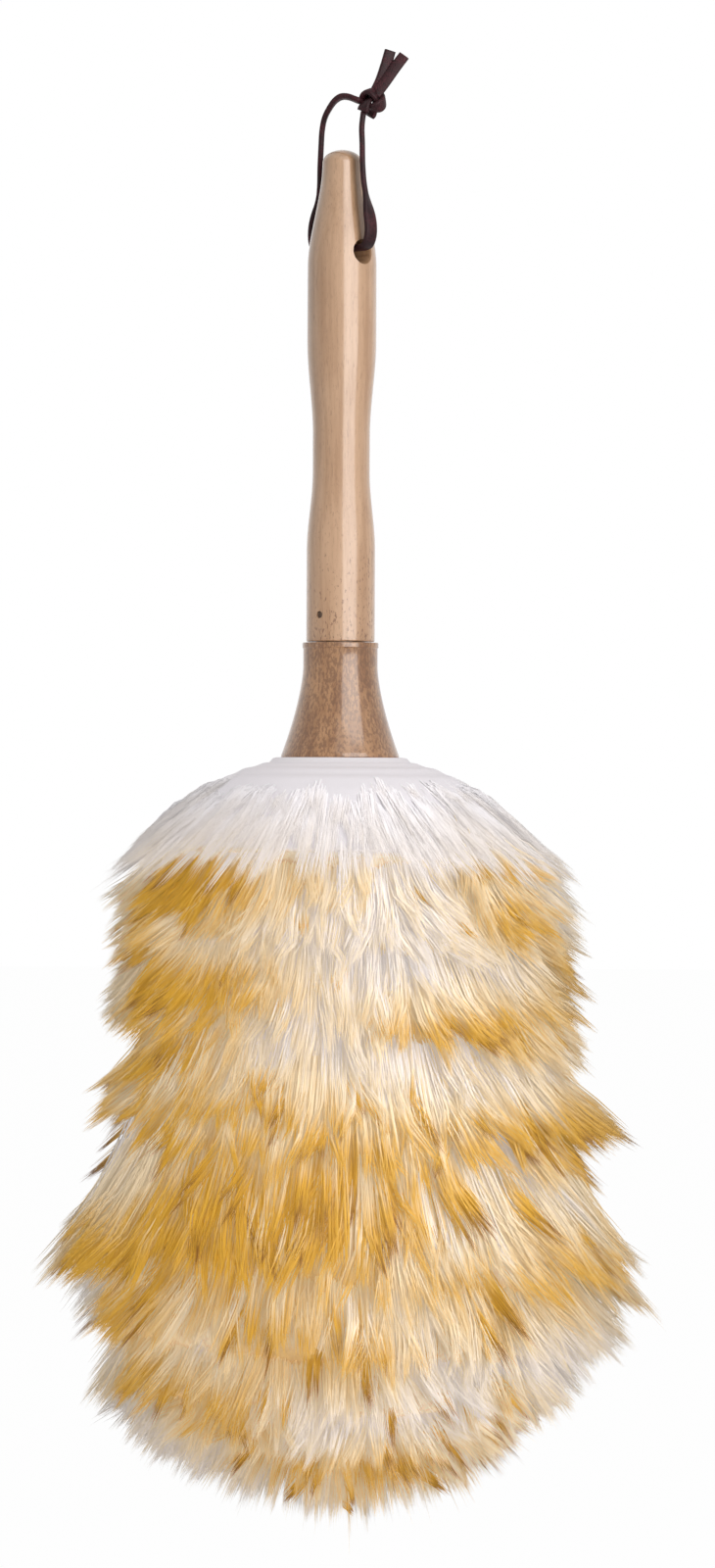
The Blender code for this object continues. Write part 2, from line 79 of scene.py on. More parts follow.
camera = bpy.data.objects.new("camera", bpy.data.cameras.new("camera"))
camera.data.lens, camera.data.sensor_width = LENS, SENSOR
camera.data.clip_end = FARTHEST_SEEN
camera.location = middle + to_camera * distance
look = (-to_camera).to_track_quat("-Z", "Y").to_matrix().to_4x4()
camera.rotation_euler = (look @ Matrix.Rotation(ROLL, 4, "Z")).to_euler()
bpy.context.scene.collection.objects.link(camera)
bpy.context.scene.camera = camera
bpy.context.scene.view_settings.view_transform = "Standard"
print("camera", round(distance, 3), "m from the duster")

# %% [markdown]
# ## A notation for finishes
# A finish is a small network of nodes, drawn by hand in the shader editor. Written with plain calls
# it takes pages, so one class wraps an output socket and lets ordinary sums stand for Math nodes,
# and another adds every other node.

# %% Wires and finishes
class Wire:
    """One output of a node. Sums on wires add Math nodes."""

    def __init__(self, finish, socket):
        self.finish, self.socket = finish, socket

    def maths(self, operation, *values):
        return self.finish.node("ShaderNodeMath", {"operation": operation}, dict(enumerate(values)))

    def __add__(self, other):
        return self.maths("ADD", self, other)

    def __mul__(self, other):
        return self.maths("MULTIPLY", self, other)

    __radd__, __rmul__ = __add__, __mul__


class Finish:
    """A material, or the world, with one method that adds any node."""

    def __init__(self, name, data=None):
        self.data = data or bpy.data.materials.new(name)
        self.data.use_nodes = True
        self.data.node_tree.nodes.clear()

    def feed(self, socket, value):
        if isinstance(value, Wire):
            self.data.node_tree.links.new(value.socket, socket)
        else:
            socket.default_value = value

    def node(self, kind, settings=None, inputs=None, out=0):
        node = self.data.node_tree.nodes.new(kind)
        for key, value in (settings or {}).items():
            setattr(node, key, value)
        for key, value in (inputs or {}).items():
            self.feed(node.inputs[key], value)
        return Wire(self, node.outputs[out]) if node.outputs else None

    def mix(self, share, first, second):
        """Two colours, mixed."""
        return self.node("ShaderNodeMix", {"data_type": "RGBA"}, {0: share, 6: first, 7: second}, 2)

    def rises(self, value, low, high):
        """0 below low, 1 above high, and a soft step between them."""
        return self.node(
            "ShaderNodeMapRange", {"interpolation_type": "SMOOTHSTEP"},
            {"Value": value, "From Min": low, "From Max": high},
        )

    def place(self, scale=(1, 1, 1)):
        """The place on the piece, in metres, stretched as asked."""
        where = self.node("ShaderNodeTexCoord", out="Object")
        return self.node("ShaderNodeMapping", None, {"Vector": where, "Scale": scale})

    def noise(self, where, scale, detail, roughness=0.55):
        return self.node(
            "ShaderNodeTexNoise", None,
            {"Vector": where, "Scale": scale, "Detail": detail, "Roughness": roughness},
        )

    def bump(self, height, strength, distance):
        sockets = {"Height": height, "Strength": strength, "Distance": distance}
        return self.node("ShaderNodeBump", None, sockets)

    def surface(self, **sockets):
        """Closes the network with one Principled shader. Socket names have _ for a space."""
        inputs = {name.replace("_", " "): value for name, value in sockets.items()}
        shader = self.node("ShaderNodeBsdfPrincipled", None, inputs)
        self.node("ShaderNodeOutputMaterial", None, {"Surface": shader})
        print("finish", self.data.name, "has", len(self.data.node_tree.nodes), "nodes")
        return self.data


def rgb(red, green, blue):
    """A colour as it is picked on a screen, 0 to 255, turned to the light that it stands for."""
    parts = [c / 255 for c in (red, green, blue)]
    return tuple(c / 12.92 if c <= 0.04045 else ((c + 0.055) / 1.055) ** 2.4 for c in parts) + (1.0,)


# %% [markdown]
# ## Floor and world
# The real one hung in front of white. A bright world would do that, but it would wash out the
# wool's shadows, so the world and the floor are white to the camera and in reflections, and only
# mild as lights. A light path tells the two apart. The floor is a wide disc, far enough below for a
# hanging duster.

# %% Floor and world
FLOOR_DROP, FLOOR_RADIUS = 0.60, 9
PAPER_GLOW = 0.985
AMBIENT = 0.23
bm = bmesh.new()
bmesh.ops.create_circle(bm, cap_ends=True, segments=96, radius=FLOOR_RADIUS)
bmesh.ops.translate(bm, verts=bm.verts, vec=(0, 0, -FLOOR_DROP))
mesh = bpy.data.meshes.new("floor")
bm.to_mesh(mesh)
bm.free()
floor = bpy.data.objects.new("floor", mesh)
bpy.context.scene.collection.objects.link(floor)


def seen_directly(finish):
    """1 on rays from the camera, in reflections and through glass, and 0 for other light."""
    rays = [finish.node("ShaderNodeLightPath", out=name)
            for name in ("Is Camera Ray", "Is Glossy Ray", "Is Transmission Ray")]
    return rays[0].maths("MAXIMUM", rays[0].maths("MAXIMUM", rays[0], rays[1]), rays[2])


paper = Finish("floor_paper")
lit = paper.node("ShaderNodeBsdfDiffuse", None, {"Color": (0.9, 0.9, 0.9, 1)})
glow = paper.node("ShaderNodeEmission", None, {"Color": (1, 1, 1, 1), "Strength": 1.0})
share = seen_directly(paper) * PAPER_GLOW
mixed = paper.node("ShaderNodeMixShader", None, {0: share, 1: lit, 2: glow})
paper.node("ShaderNodeOutputMaterial", None, {"Surface": mixed})
floor.data.materials.append(paper.data)

world = bpy.data.worlds.new("studio")
bpy.context.scene.world = world
sky = Finish("studio", world)
dim = sky.node("ShaderNodeBackground", None, {"Color": (0.97, 0.98, 1.0, 1), "Strength": AMBIENT})
white = sky.node("ShaderNodeBackground", None, {"Color": (1, 1, 1, 1), "Strength": 1.0})
both = sky.node("ShaderNodeMixShader", None, {0: seen_directly(sky), 1: dim, 2: white})
sky.node("ShaderNodeOutputWorld", None, {"Surface": both})
print("floor at", -FLOOR_DROP, "m, world light", AMBIENT)

# %% [markdown]
# ## Lamps
# A big window stood to the right and gave the lacquer its broad bright stripe, and a ceiling lit
# the rest from above. Area lamps make such soft light. The window is two of them, because one that
# is bright enough in the lacquer would be too strong on the wool: the first lights and isn't
# mirrored, the second is only mirrored. Two weak panels, low in front and at the left, open the
# wool's shadows without a stripe of their own.

# %% Lamps
def lamp(name, turn, height, away, size, watts, aim=middle, spread=180):
    """A soft panel, some degrees to the right of the camera. A grid in front narrows its spread."""
    data = bpy.data.lights.new(name, "AREA")
    data.shape, data.size, data.size_y = "RECTANGLE", size[0], size[1]
    data.energy, data.spread = watts, math.radians(spread)
    obj = bpy.data.objects.new(name, data)
    angle = SIDE + math.radians(turn)
    obj.location = Vector((math.sin(angle) * away, -math.cos(angle) * away, height))
    obj.rotation_euler = (aim - obj.location).to_track_quat("-Z", "Y").to_euler()
    bpy.context.scene.collection.objects.link(obj)
    print("lamp", name, watts, "W")
    return obj


wool_upper, wool_middle = Vector((0, 0, -0.33)), Vector((0, 0, -0.38))
# Each lamp has its turn in degrees, height, distance, size, watts, aim and spread in degrees
lamp("window light", 32, 0.1, 1.7, (0.65, 1.6), 17).visible_glossy = False
lamp("window shine", 31, 0.1, 1.7, (1.55, 1.6), 32).visible_diffuse = False
lamp("ceiling", 15, 1.3, 1.1, (1.4, 1.4), 6)
for fill in (
    lamp("front", -8, -0.42, 2.2, (1.6, 0.6), 0.15, wool_middle, 40),
    lamp("left", -75, -0.36, 1.6, (0.8, 0.4), 0.25, wool_upper, 16),
):
    fill.visible_glossy = False

# %% [markdown]
# ## Putting a piece in place
# Each new piece is a mesh at its own place in the model's frame. It rides on the body that carries
# it, stands for the CAD nodes that it replaces, and holds its finish in its material slot. The small
# sums below ease and blend numbers, and they serve single numbers and whole arrays alike.

# %% Piece helpers
def add_piece(name, mesh, finish, body, nodes):
    mesh.name = name
    mesh.materials.clear()
    mesh.materials.append(finish)
    mesh.shade_smooth()
    piece = bpy.data.objects.new(name, mesh)
    bpy.context.scene.collection.objects.link(piece)
    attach(piece, body)
    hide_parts(*nodes)
    mesh.calc_loop_triangles()
    print("piece", name, len(mesh.loop_triangles), "triangles")
    return piece


def closed_mesh(bm):
    """Joins what touches, turns every face outward and gives the mesh."""
    bmesh.ops.remove_doubles(bm, verts=bm.verts, dist=0.002 * MM)
    bmesh.ops.recalc_face_normals(bm, faces=bm.faces)
    mesh = bpy.data.meshes.new("piece")
    bm.to_mesh(mesh)
    bm.free()
    return mesh


def soft(share):
    """A share held between 0 and 1 and eased at both ends."""
    share = np.clip(share, 0, 1)
    return share * share * (3 - 2 * share)


def blend(start, end, share):
    return start + (end - start) * share


# %% [markdown]
# ## The leather lace
# A flat lace, 5.2 mm wide and 2.1 mm thick, runs from its knot over the arch that hangs on the peg,
# down beside the handle, through the cross hole and back up. A curve with a bevel could follow the
# route, but its flat side would turn by itself, so rings of a flat section are set along the CAD's
# route and bridged. That gives each ring its own tilt: edge-on beside the handle, flat in the hole.

# %% The lace's route and section
LACE_WIDTH, LACE_THICKNESS, LACE_STEP = 5.2 * MM, 2.1 * MM, 1.2 * MM
# A circle whose cosine and sine are raised to these powers is nearly a rectangle
SECTION_CORNERS, WIDTH_POWER, THICKNESS_POWER = 16, 0.4, 0.6
ROUTE_MM = (
    (9.6, 1.0, -1.4), (7.0, 0.5, -0.5), (3.4, 0.1, 0.7), (-0.6, 0, 1.1), (-4.6, 0, -0.1),
    (-8.2, 0, -3.0), (-10.6, 0, -6.2), (-11.9, 0, -10.5), (-12.4, 0, -16.0), (-12.9, 0, -24.0),
    (-13.1, 0, -31.0), (-13.9, 0, -37.0), (-15.2, 0, -42.0), (-16.2, 0, -47.0), (-16.0, 0, -51.2),
    (-14.3, 0, -54.2), (-11.2, 0, -55.0), (-5.0, 0, -55.0), (5.0, 0, -55.0), (11.2, 0, -55.0),
    (14.3, 0, -54.2), (16.0, 0, -51.2), (16.2, 0, -47.0), (15.0, 0, -41.5), (13.6, 0, -36.5),
    (12.2, 0, -31.0), (11.4, 0, -24.0), (11.2, 0, -17.0), (10.9, 0, -11.0), (10.8, 0.8, -5.6),
)


def smooth_route(points, step):
    """Points about a step apart on a smooth curve through the given ones."""
    marks = [Vector(point) for point in points]
    marks = [2 * marks[0] - marks[1], *marks, 2 * marks[-1] - marks[-2]]
    route = []
    for a, b, c, d in zip(marks, marks[1:], marks[2:], marks[3:]):
        count = max(1, round((c - b).length / step))
        for t in (k / count for k in range(count)):
            route.append(0.5 * (
                2 * b + (c - a) * t + (2 * a - 5 * b + 4 * c - d) * t * t
                + (3 * b - a - 3 * c + d) * t * t * t
            ))
    return [*route, marks[-2]]


def heading(route, number):
    """Direction of a route at one of its points."""
    return (route[min(number + 1, len(route) - 1)] - route[max(number - 1, 0)]).normalized()


def lace_strip(route, faces, width, thickness):
    """A closed flat strip along a route. Its broad side looks along the given directions."""
    section = []
    for k in range(SECTION_CORNERS):
        turn = 2 * math.pi * k / SECTION_CORNERS
        across, up = math.cos(turn), math.sin(turn)
        section.append((
            width / 2 * math.copysign(abs(across) ** WIDTH_POWER, across),
            thickness / 2 * math.copysign(abs(up) ** THICKNESS_POWER, up),
        ))
    bm = bmesh.new()
    loops = []
    for number, (point, face) in enumerate(zip(route, faces)):
        ahead = heading(route, number)
        up = (face - ahead * face.dot(ahead)).normalized()
        side = ahead.cross(up)
        ring = [bm.verts.new(point + side * a + up * u) for a, u in section]
        loops.append([bm.edges.new(pair) for pair in zip(ring, ring[1:] + ring[:1])])
    for first, second in zip(loops, loops[1:]):
        bmesh.ops.bridge_loops(bm, edges=first + second)
    bmesh.ops.holes_fill(bm, edges=loops[0] + loops[-1], sides=0)
    return bm


lace_route = smooth_route([Vector(p) * MM for p in ROUTE_MM], LACE_STEP)
lace_length = sum((b - a).length for a, b in zip(lace_route, lace_route[1:]))
print("the loop is", round(lace_length / MM, 1), "mm long, in", len(lace_route), "points")

# %% [markdown]
# ## Leather
# The leather is a dark red brown, with paler blotches where its dye is worn. Pores and creases come
# from noise and cells at the scale of real grain, and they feed the bump too. A picture of leather
# would show its seams on such a narrow lace.

# %% Leather finish
dark_leather = Finish("dark_leather")
where = dark_leather.place()
bloom = dark_leather.noise(where, 160, 4)
pores = dark_leather.noise(where, 2600, 2)
creases = dark_leather.node(
    "ShaderNodeTexVoronoi", {"feature": "DISTANCE_TO_EDGE"}, {"Vector": where, "Scale": 1500},
)
hue = dark_leather.mix(dark_leather.rises(bloom, 0.38, 0.66), rgb(44, 17, 21), rgb(82, 40, 46))
hue = dark_leather.mix(dark_leather.rises(pores, 0.35, 0.6), rgb(24, 9, 11), hue)
leather = dark_leather.surface(
    Base_Color=hue,
    Roughness=dark_leather.rises(bloom, 0.2, 0.8) * 0.25 + 0.42,
    Normal=dark_leather.bump(creases * 0.6 + pores * 0.5, 0.5, 0.12 * MM),
    Specular_IOR_Level=0.2,
)

# %% [markdown]
# ## The lace's loop
# The loop shows its edge to the camera where it hangs and lies flat in the cross hole, as a real
# lace does once it has bent round both mouths. In between, one direction is eased into the other.

# %% The lace's loop
FLAT_BELOW, TWIST_OVER = 46 * MM, 13 * MM


def loop_faces(route):
    """Edge-on to the camera over the arch and beside the handle, lying flat in the hole."""
    faces = []
    for number, point in enumerate(route):
        ahead = heading(route, number)
        share = soft((point.z + FLAT_BELOW) / TWIST_OVER)
        flat, edge_on = ahead.cross(Vector((0, -1, 0))), ahead.cross(to_camera)
        faces.append(flat.normalized() * (1 - share) + edge_on.normalized() * share)
    return faces


loop_bm = lace_strip(lace_route, loop_faces(lace_route), LACE_WIDTH, LACE_THICKNESS)
loop = add_piece("thong_lace", closed_mesh(loop_bm), leather, "thong", ["thong_loop"])

# %% [markdown]
# ## The knot
# Both ends of the lace are tied together in an overhand knot. It could be pulled tight by a
# simulation, but a formula is steadier: a pretzel-shaped curve of three lobes, with the lace's flat
# side against the lump. The two cut ends leave it side by side and flare apart.

# %% Knot and cut ends
KNOT_CENTRE = Vector((12.6, 3.3, -2.0)) * MM
LOBE_WIDE, LOBE_TALL, LOBE_DEEP = 1.3 * MM, 1.75 * MM, 2.3 * MM
LOBES_FROM, LOBES_TURN, LOBE_STEPS = 1.12 * math.pi, 1.76 * math.pi, 90
SQUEEZED_WIDTH, SQUEEZED_THICKNESS = 5.0 * MM, 1.9 * MM
TAIL_STEP, TAIL_WIDTH_SHARE, TAIL_LEANS, TAIL_RISE = 0.8 * MM, 0.8, (0.25, -0.1), 0.1
TAILS_MM = (
    ((13.2, 3.8, 1.0), (14.8, 5.6, 6.0), (16.0, 7.2, 12.0), (16.9, 8.4, 17.2)),
    ((14.2, 3.4, 0.6), (16.6, 6.4, 5.8), (18.6, 9.4, 11.0), (20.3, 12.2, 15.4)),
)
knot_up = (Vector(TAILS_MM[0][-1]) + Vector(TAILS_MM[1][-1]) - 2 * Vector(TAILS_MM[0][0])).normalized()
knot_right = knot_up.cross(to_camera).normalized() * -1
knot_front = knot_right.cross(knot_up).normalized() * -1


def knot_path(count):
    """Three lobes over and under each other, a little taller than wide."""
    path = []
    for k in range(count + 1):
        t = LOBES_FROM + LOBES_TURN * k / count
        across = math.sin(t) + 2 * math.sin(2 * t)
        along = math.cos(t) - 2 * math.cos(2 * t)
        depth = -math.sin(3 * t)
        path.append(
            KNOT_CENTRE + knot_right * across * LOBE_WIDE + knot_up * along * LOBE_TALL
            + knot_front * depth * LOBE_DEEP
        )
    return path


lump_route = knot_path(LOBE_STEPS)
outward = [(point - KNOT_CENTRE).normalized() for point in lump_route]
knot_bm = lace_strip(lump_route, outward, SQUEEZED_WIDTH, SQUEEZED_THICKNESS)
for points, lean in zip(TAILS_MM, TAIL_LEANS):
    tail = smooth_route([Vector(p) * MM for p in points], TAIL_STEP)
    faces_out = [(to_camera + to_right * lean + knot_up * TAIL_RISE).normalized()] * len(tail)
    tail_bm = lace_strip(tail, faces_out, LACE_WIDTH * TAIL_WIDTH_SHARE, LACE_THICKNESS)
    tail_mesh = bpy.data.meshes.new("tail")
    tail_bm.to_mesh(tail_mesh)
    tail_bm.free()
    knot_bm.from_mesh(tail_mesh)
    bpy.data.meshes.remove(tail_mesh)
knot_mesh = closed_mesh(knot_bm)
knot = add_piece("thong_overhand_knot", knot_mesh, leather, "thong", ["thong_knot"])

# %% [markdown]
# ## The turned handle
# The handle is beech turned on a lathe: a low dome, a neck that swells into the grip, a slimmer waist
# and a straight foot. Below the foot hides a tenon, with a blind socket for the rod. A turned shape
# is an outline spun about its axis, so the outline comes first, as (radius, drop) in millimetres.
# These are the CAD's own figures, with more points where it curves, because a subdivided mesh
# would shrink away from them.

# %% Handle outline
HANDLE_TOP = 18.4
DOME, NECK, GRIP, GRIP_TAPER, WAIST, WAIST_TAPER, FOOT = 5.0, 38.9, 26.6, 34.5, 13.5, 28.5, 33.7
NECK_R, GRIP_R, WAIST_R, FOOT_R, TENON_R, SOCKET_R = 7.4, 12.7, 10.5, 12.6, 9.0, 6.3
TENON, SOCKET = 24.0, 36.0
DOME_STEPS, NECK_STEPS, TAPER_STEPS, TURNED_STEPS = 16, 26, 16, 112
FOOT_EASE = 0.5


def swept(start, end, count):
    """Points of an S-shaped stretch between two (radius, drop) ends, without its last point."""
    shares = [k / count for k in range(count)]
    return [(blend(start[0], end[0], soft(s)), blend(start[1], end[1], s)) for s in shares]


def rounded(corner, before, after, size, count=4):
    """A corner of an outline, rounded between a point before it and one after it."""
    corner, before, after = Vector(corner), Vector(before), Vector(after)
    start = corner + (before - corner).normalized() * size
    end = corner + (after - corner).normalized() * size
    arc = []
    for t in (k / count for k in range(count + 1)):
        arc.append(tuple(start * (1 - t) ** 2 + corner * 2 * t * (1 - t) + end * t ** 2))
    return arc


neck = HANDLE_TOP + DOME
grip = neck + NECK
waist = grip + GRIP + GRIP_TAPER
foot = waist + WAIST + WAIST_TAPER
handle_end = foot + FOOT
tenon_end = handle_end + TENON
socket_top = handle_end - SOCKET
dome_turns = [math.pi / 2 * k / DOME_STEPS for k in range(DOME_STEPS)]
handle_outline = [(NECK_R * math.sin(a), neck - DOME * math.cos(a)) for a in dome_turns]
handle_outline += swept((NECK_R, neck), (GRIP_R, grip), NECK_STEPS)
handle_outline += swept((GRIP_R, grip + GRIP), (WAIST_R, waist), TAPER_STEPS)
handle_outline += swept((WAIST_R, waist + WAIST), (FOOT_R, foot), TAPER_STEPS)
handle_outline += [(FOOT_R, foot)]
handle_outline += rounded((FOOT_R, handle_end), (FOOT_R, foot), (0, handle_end), FOOT_EASE)
handle_outline += [(TENON_R, handle_end), (TENON_R, tenon_end), (SOCKET_R, tenon_end)]
handle_outline += [(SOCKET_R, socket_top), (0, socket_top)]
print("the handle is", round(handle_end - HANDLE_TOP, 1), "mm long over its foot")

# %% [markdown]
# ## Turning and drilling
# A lathe turns an outline round, which the spin operator does too, and a drill leaves a round hole.
# A hole could be modelled into the mesh face by face, but a Boolean modifier with a round cutter
# keeps its edge true to the curved wood.

# %% Turning and drilling
DRILL_SIDES = 64


def turned(outline, closed=False, steps=TURNED_STEPS):
    """An outline of (radius, drop) spun about the duster's axis. A ring's outline closes on itself."""
    bm = bmesh.new()
    verts = [bm.verts.new((radius * MM, 0, -drop * MM)) for radius, drop in outline]
    edges = [bm.edges.new(pair) for pair in zip(verts, verts[1:])]
    if closed:
        edges.append(bm.edges.new((verts[-1], verts[0])))
    bmesh.ops.spin(
        bm, geom=verts + edges, axis=(0, 0, 1), cent=(0, 0, 0), angle=2 * math.pi,
        steps=steps, use_merge=True,
    )
    return closed_mesh(bm)


def drill(radius, length, place, radius_2=None):
    """A round cutter along its place's Z, with that place in its middle."""
    bm = bmesh.new()
    bmesh.ops.create_cone(
        bm, cap_ends=True, segments=DRILL_SIDES, radius1=radius,
        radius2=radius if radius_2 is None else radius_2, depth=length, matrix=place,
    )
    return closed_mesh(bm)


def carved(mesh, cutters):
    """What is left of a mesh when its cutters are taken away."""
    objects = [bpy.data.objects.new("carving", part) for part in (mesh, *cutters)]
    for obj in objects:
        bpy.context.scene.collection.objects.link(obj)
    for cutter in objects[1:]:
        cut = objects[0].modifiers.new("cut", "BOOLEAN")
        cut.operation, cut.solver, cut.object = "DIFFERENCE", "EXACT", cutter
    bpy.context.view_layer.update()
    scene_now = bpy.context.evaluated_depsgraph_get()
    result = bpy.data.meshes.new_from_object(objects[0].evaluated_get(scene_now))
    for obj in objects:
        bpy.data.objects.remove(obj, do_unlink=True)
    return result


def add_wood(name, mesh, finish, nodes):
    """Adds a smooth piece to the duster that keeps its sharp edges."""
    piece = add_piece(name, mesh, finish, "duster", nodes)
    piece.data.set_sharp_from_angle(angle=math.radians(38))


# %% [markdown]
# ## Holes of the handle
# The lace's hole is bored straight through the neck along X, and a countersink eases both mouths.
# A small brad is driven in above the foot to lock the rod, so it gets its own pocket.

# %% Holes of the handle
HOLE_DROP, HOLE_R, THROUGH = 56.3, 4.0, 30
# The countersinks: their middle's distance from the axis, their depth and their two radii
MOUTH_AT, MOUTH_DEPTH, MOUTH_RADII = 12.0, 3.2, (HOLE_R - 0.3, HOLE_R + 1.3)
BRAD_TURN, BRAD_RISE, BRAD_HEAD_R, BRAD_R, BRAD_LENGTH = math.radians(-78), 9.7, 1.2, 0.8, 14.0
HEAD_PLAY, HEAD_POCKET, SHANK_PLAY = 0.1, 3.6, 0.2
sideways = Matrix.Rotation(math.pi / 2, 4, "Y")
hole_place = Matrix.Translation((0, 0, -HOLE_DROP * MM)) @ sideways
cutters = [drill(HOLE_R * MM, THROUGH * MM, hole_place)]
for end in (1, -1):
    mouth = hole_place @ Matrix.Translation((0, 0, end * MOUTH_AT * MM))
    radii = MOUTH_RADII[::end]
    cutters.append(drill(radii[0] * MM, MOUTH_DEPTH * MM, mouth, radii[1] * MM))
brad_seat = Matrix.Translation((FOOT_R * MM, 0, (BRAD_RISE - handle_end) * MM))
brad_place = Matrix.Rotation(BRAD_TURN, 4, "Z") @ brad_seat @ sideways
cutters.append(drill((BRAD_HEAD_R + HEAD_PLAY) * MM, HEAD_POCKET * MM, brad_place))
cutters.append(drill((BRAD_R + SHANK_PLAY) * MM, 2 * (BRAD_LENGTH + 1) * MM, brad_place))
handle_mesh = carved(turned(handle_outline), cutters)
print("handle mesh", len(handle_mesh.polygons), "faces")

# %% [markdown]
# ## Beech under lacquer
# Beech is pinkish tan, with long soft bands and short dark flecks that run along the grain. The bands
# are noise stretched along Z, and the flecks are finer noise of which only the peaks count. Toward
# the foot the flecks thicken. Clear lacquer is a coat on top, which carries the bright stripe. One
# function serves all the wood, with other colours, fewer flecks and no lacquer where that is so.

# %% Wood finish
def wood(name, light, band, fleck, flecks, fleck_low=0.58, dense_from=None, coat=1.0):
    """Wood of three colours. Flecks count from 0 to 1 and may thicken between two heights."""
    finish = Finish(name)
    bands = finish.noise(finish.place((1, 1, 0.05)), 260, 4, 0.6)
    clouds = finish.noise(finish.place((1, 1, 0.4)), 55, 2)
    pores = finish.noise(finish.place((1, 1, 0.1)), 2400, 2)
    dashes = finish.noise(finish.place((1, 1, 0.45)), 1100, 3, 0.65)
    tone = finish.mix(finish.rises(bands * 0.7 + clouds * 0.3, 0.36, 0.64), light, band)
    tone = finish.mix(finish.rises(pores, 0.56, 0.74) * 0.35, tone, fleck)
    amount = flecks
    if dense_from is not None:
        height = finish.node("ShaderNodeSeparateXYZ", None, {"Vector": finish.place()}, 2)
        amount = finish.rises(height, dense_from[0], dense_from[1]) * flecks + 0.12
    flecked_here = finish.rises(dashes + clouds * 0.25, fleck_low + 0.1, fleck_low + 0.22)
    tone = finish.mix(flecked_here * amount, tone, fleck)
    return finish.surface(
        Base_Color=tone, Roughness=finish.rises(bands, 0.3, 0.7) * 0.12 + 0.36,
        Coat_Weight=coat, Coat_Roughness=0.13, Coat_IOR=1.5, Specular_IOR_Level=0.3,
        Normal=finish.bump(bands * 0.4 + dashes * 0.6, 0.25, 0.1 * MM),
    )


beech = wood(
    "lacquered_beech", rgb(208, 168, 133), rgb(184, 142, 106), rgb(128, 88, 62), 0.7,
    dense_from=(-0.13, -0.19),
)
add_wood("turned_handle", handle_mesh, beech, ["handle"])

# %% [markdown]
# ## The ferrule
# A flared wooden collar sits on the tenon and hides where the wool starts. Its top has a narrow lip,
# under which it goes straight and then flares like a bell. Its bore is stepped: wide for the tenon
# and narrow for the rod. It is the same beech, stained browner and thick with flecks.

# %% Ferrule
LIP_R, COLLAR_R, RIM_RADIUS = 14.0, 13.7, 21.7
LIP, COLLAR, FERRULE, BORE_GAP = 2.0, 9.0, 42.5, 0.3
LIP_EASE, UNDER_EASE, RIM_EASE = 0.45, 0.3, 0.6
FLARE_STEPS, FLARE_POWER, RIM_BAND = 30, 1.5, 1.0
ferrule_top = handle_end + BORE_GAP
rim = ferrule_top + FERRULE
shoulder = ferrule_top + COLLAR
step_drop = tenon_end + BORE_GAP
ferrule_outline = [(TENON_R + BORE_GAP, ferrule_top)]
ferrule_outline += rounded((LIP_R, ferrule_top), (0, ferrule_top), (LIP_R, rim), LIP_EASE)
under_lip = (COLLAR_R, ferrule_top + LIP + 0.2)
ferrule_outline += rounded((LIP_R, ferrule_top + LIP), (LIP_R, 0), under_lip, UNDER_EASE)
ferrule_outline += [(COLLAR_R, ferrule_top + LIP + UNDER_EASE)]
for share in (k / FLARE_STEPS for k in range(FLARE_STEPS + 1)):
    flare_r = blend(COLLAR_R, RIM_RADIUS, share ** FLARE_POWER)
    ferrule_outline.append((flare_r, blend(shoulder, rim - RIM_BAND, share)))
ferrule_outline += rounded((RIM_RADIUS, rim), (RIM_RADIUS, 0), (0, rim), RIM_EASE)
ferrule_outline += [(SOCKET_R, rim), (SOCKET_R, step_drop), (TENON_R + BORE_GAP, step_drop)]
flecked = wood(
    "flecked_beech", rgb(182, 135, 92), rgb(148, 102, 62), rgb(100, 62, 34), 0.6, fleck_low=0.48,
)
ferrule_mesh = turned(ferrule_outline, closed=True)
add_wood("flared_ferrule", ferrule_mesh, flecked, ["ferrule"])

# %% [markdown]
# ## Sheepskin strip and patch
# Under the wool lies the skin that it grows on: a strip wound down the rod and a round patch under
# the rod's end. A Screw modifier could wind the strip, but the spin operator does it in one call: it
# turns a small section eight times while it sinks. A cut at each end leaves it level with the rod.

# %% Hide pieces
HIDE_IN, HIDE_OUT, HIDE_EASE = 6.3, 8.3, 0.5
STRIP_TURNS, STRIP_DROP, STRIP_GAP, STRIP_START, STEPS_PER_TURN = 8, 31.571, 0.6, 4.0, 48
PATCH_R, HIDE_T, ROD_LENGTH = 14.0, 2.0, 225.0
TACK_HOLE_R, TACK_HOLE_DEPTH = 1.0, 8
top_z, end_z = -(rim + BORE_GAP) * MM, -(rim + BORE_GAP + ROD_LENGTH) * MM
width = STRIP_DROP - STRIP_GAP
section = rounded((HIDE_OUT, 0), (HIDE_IN, 0), (HIDE_OUT, width), HIDE_EASE)
section += rounded((HIDE_OUT, width), (HIDE_OUT, 0), (HIDE_IN, width), HIDE_EASE)
section += [(HIDE_IN, width), (HIDE_IN, 0)]
bm = bmesh.new()
raised = top_z + (STRIP_DROP - STRIP_START - STRIP_GAP) * MM
verts = [bm.verts.new((r * MM, 0, raised - d * MM)) for r, d in section]
edges = [bm.edges.new(pair) for pair in zip(verts, verts[1:] + verts[:1])]
bmesh.ops.holes_fill(bm, edges=edges, sides=0)
bmesh.ops.spin(
    bm, geom=bm.faces[:], axis=(0, 0, 1), cent=(0, 0, 0), angle=2 * math.pi * STRIP_TURNS,
    steps=STEPS_PER_TURN * STRIP_TURNS, dvec=(0, 0, -STRIP_DROP * MM / STEPS_PER_TURN),
)
for height, way in ((top_z, 1), (end_z, -1)):
    everything = bm.verts[:] + bm.edges[:] + bm.faces[:]
    cut = bmesh.ops.bisect_plane(
        bm, geom=everything, plane_co=(0, 0, height), plane_no=(0, 0, way), clear_outer=True,
    )
    open_edges = [e for e in cut["geom_cut"] if isinstance(e, bmesh.types.BMEdge)]
    bmesh.ops.holes_fill(bm, edges=open_edges, sides=0)
strip_mesh = closed_mesh(bm)
bm = bmesh.new()
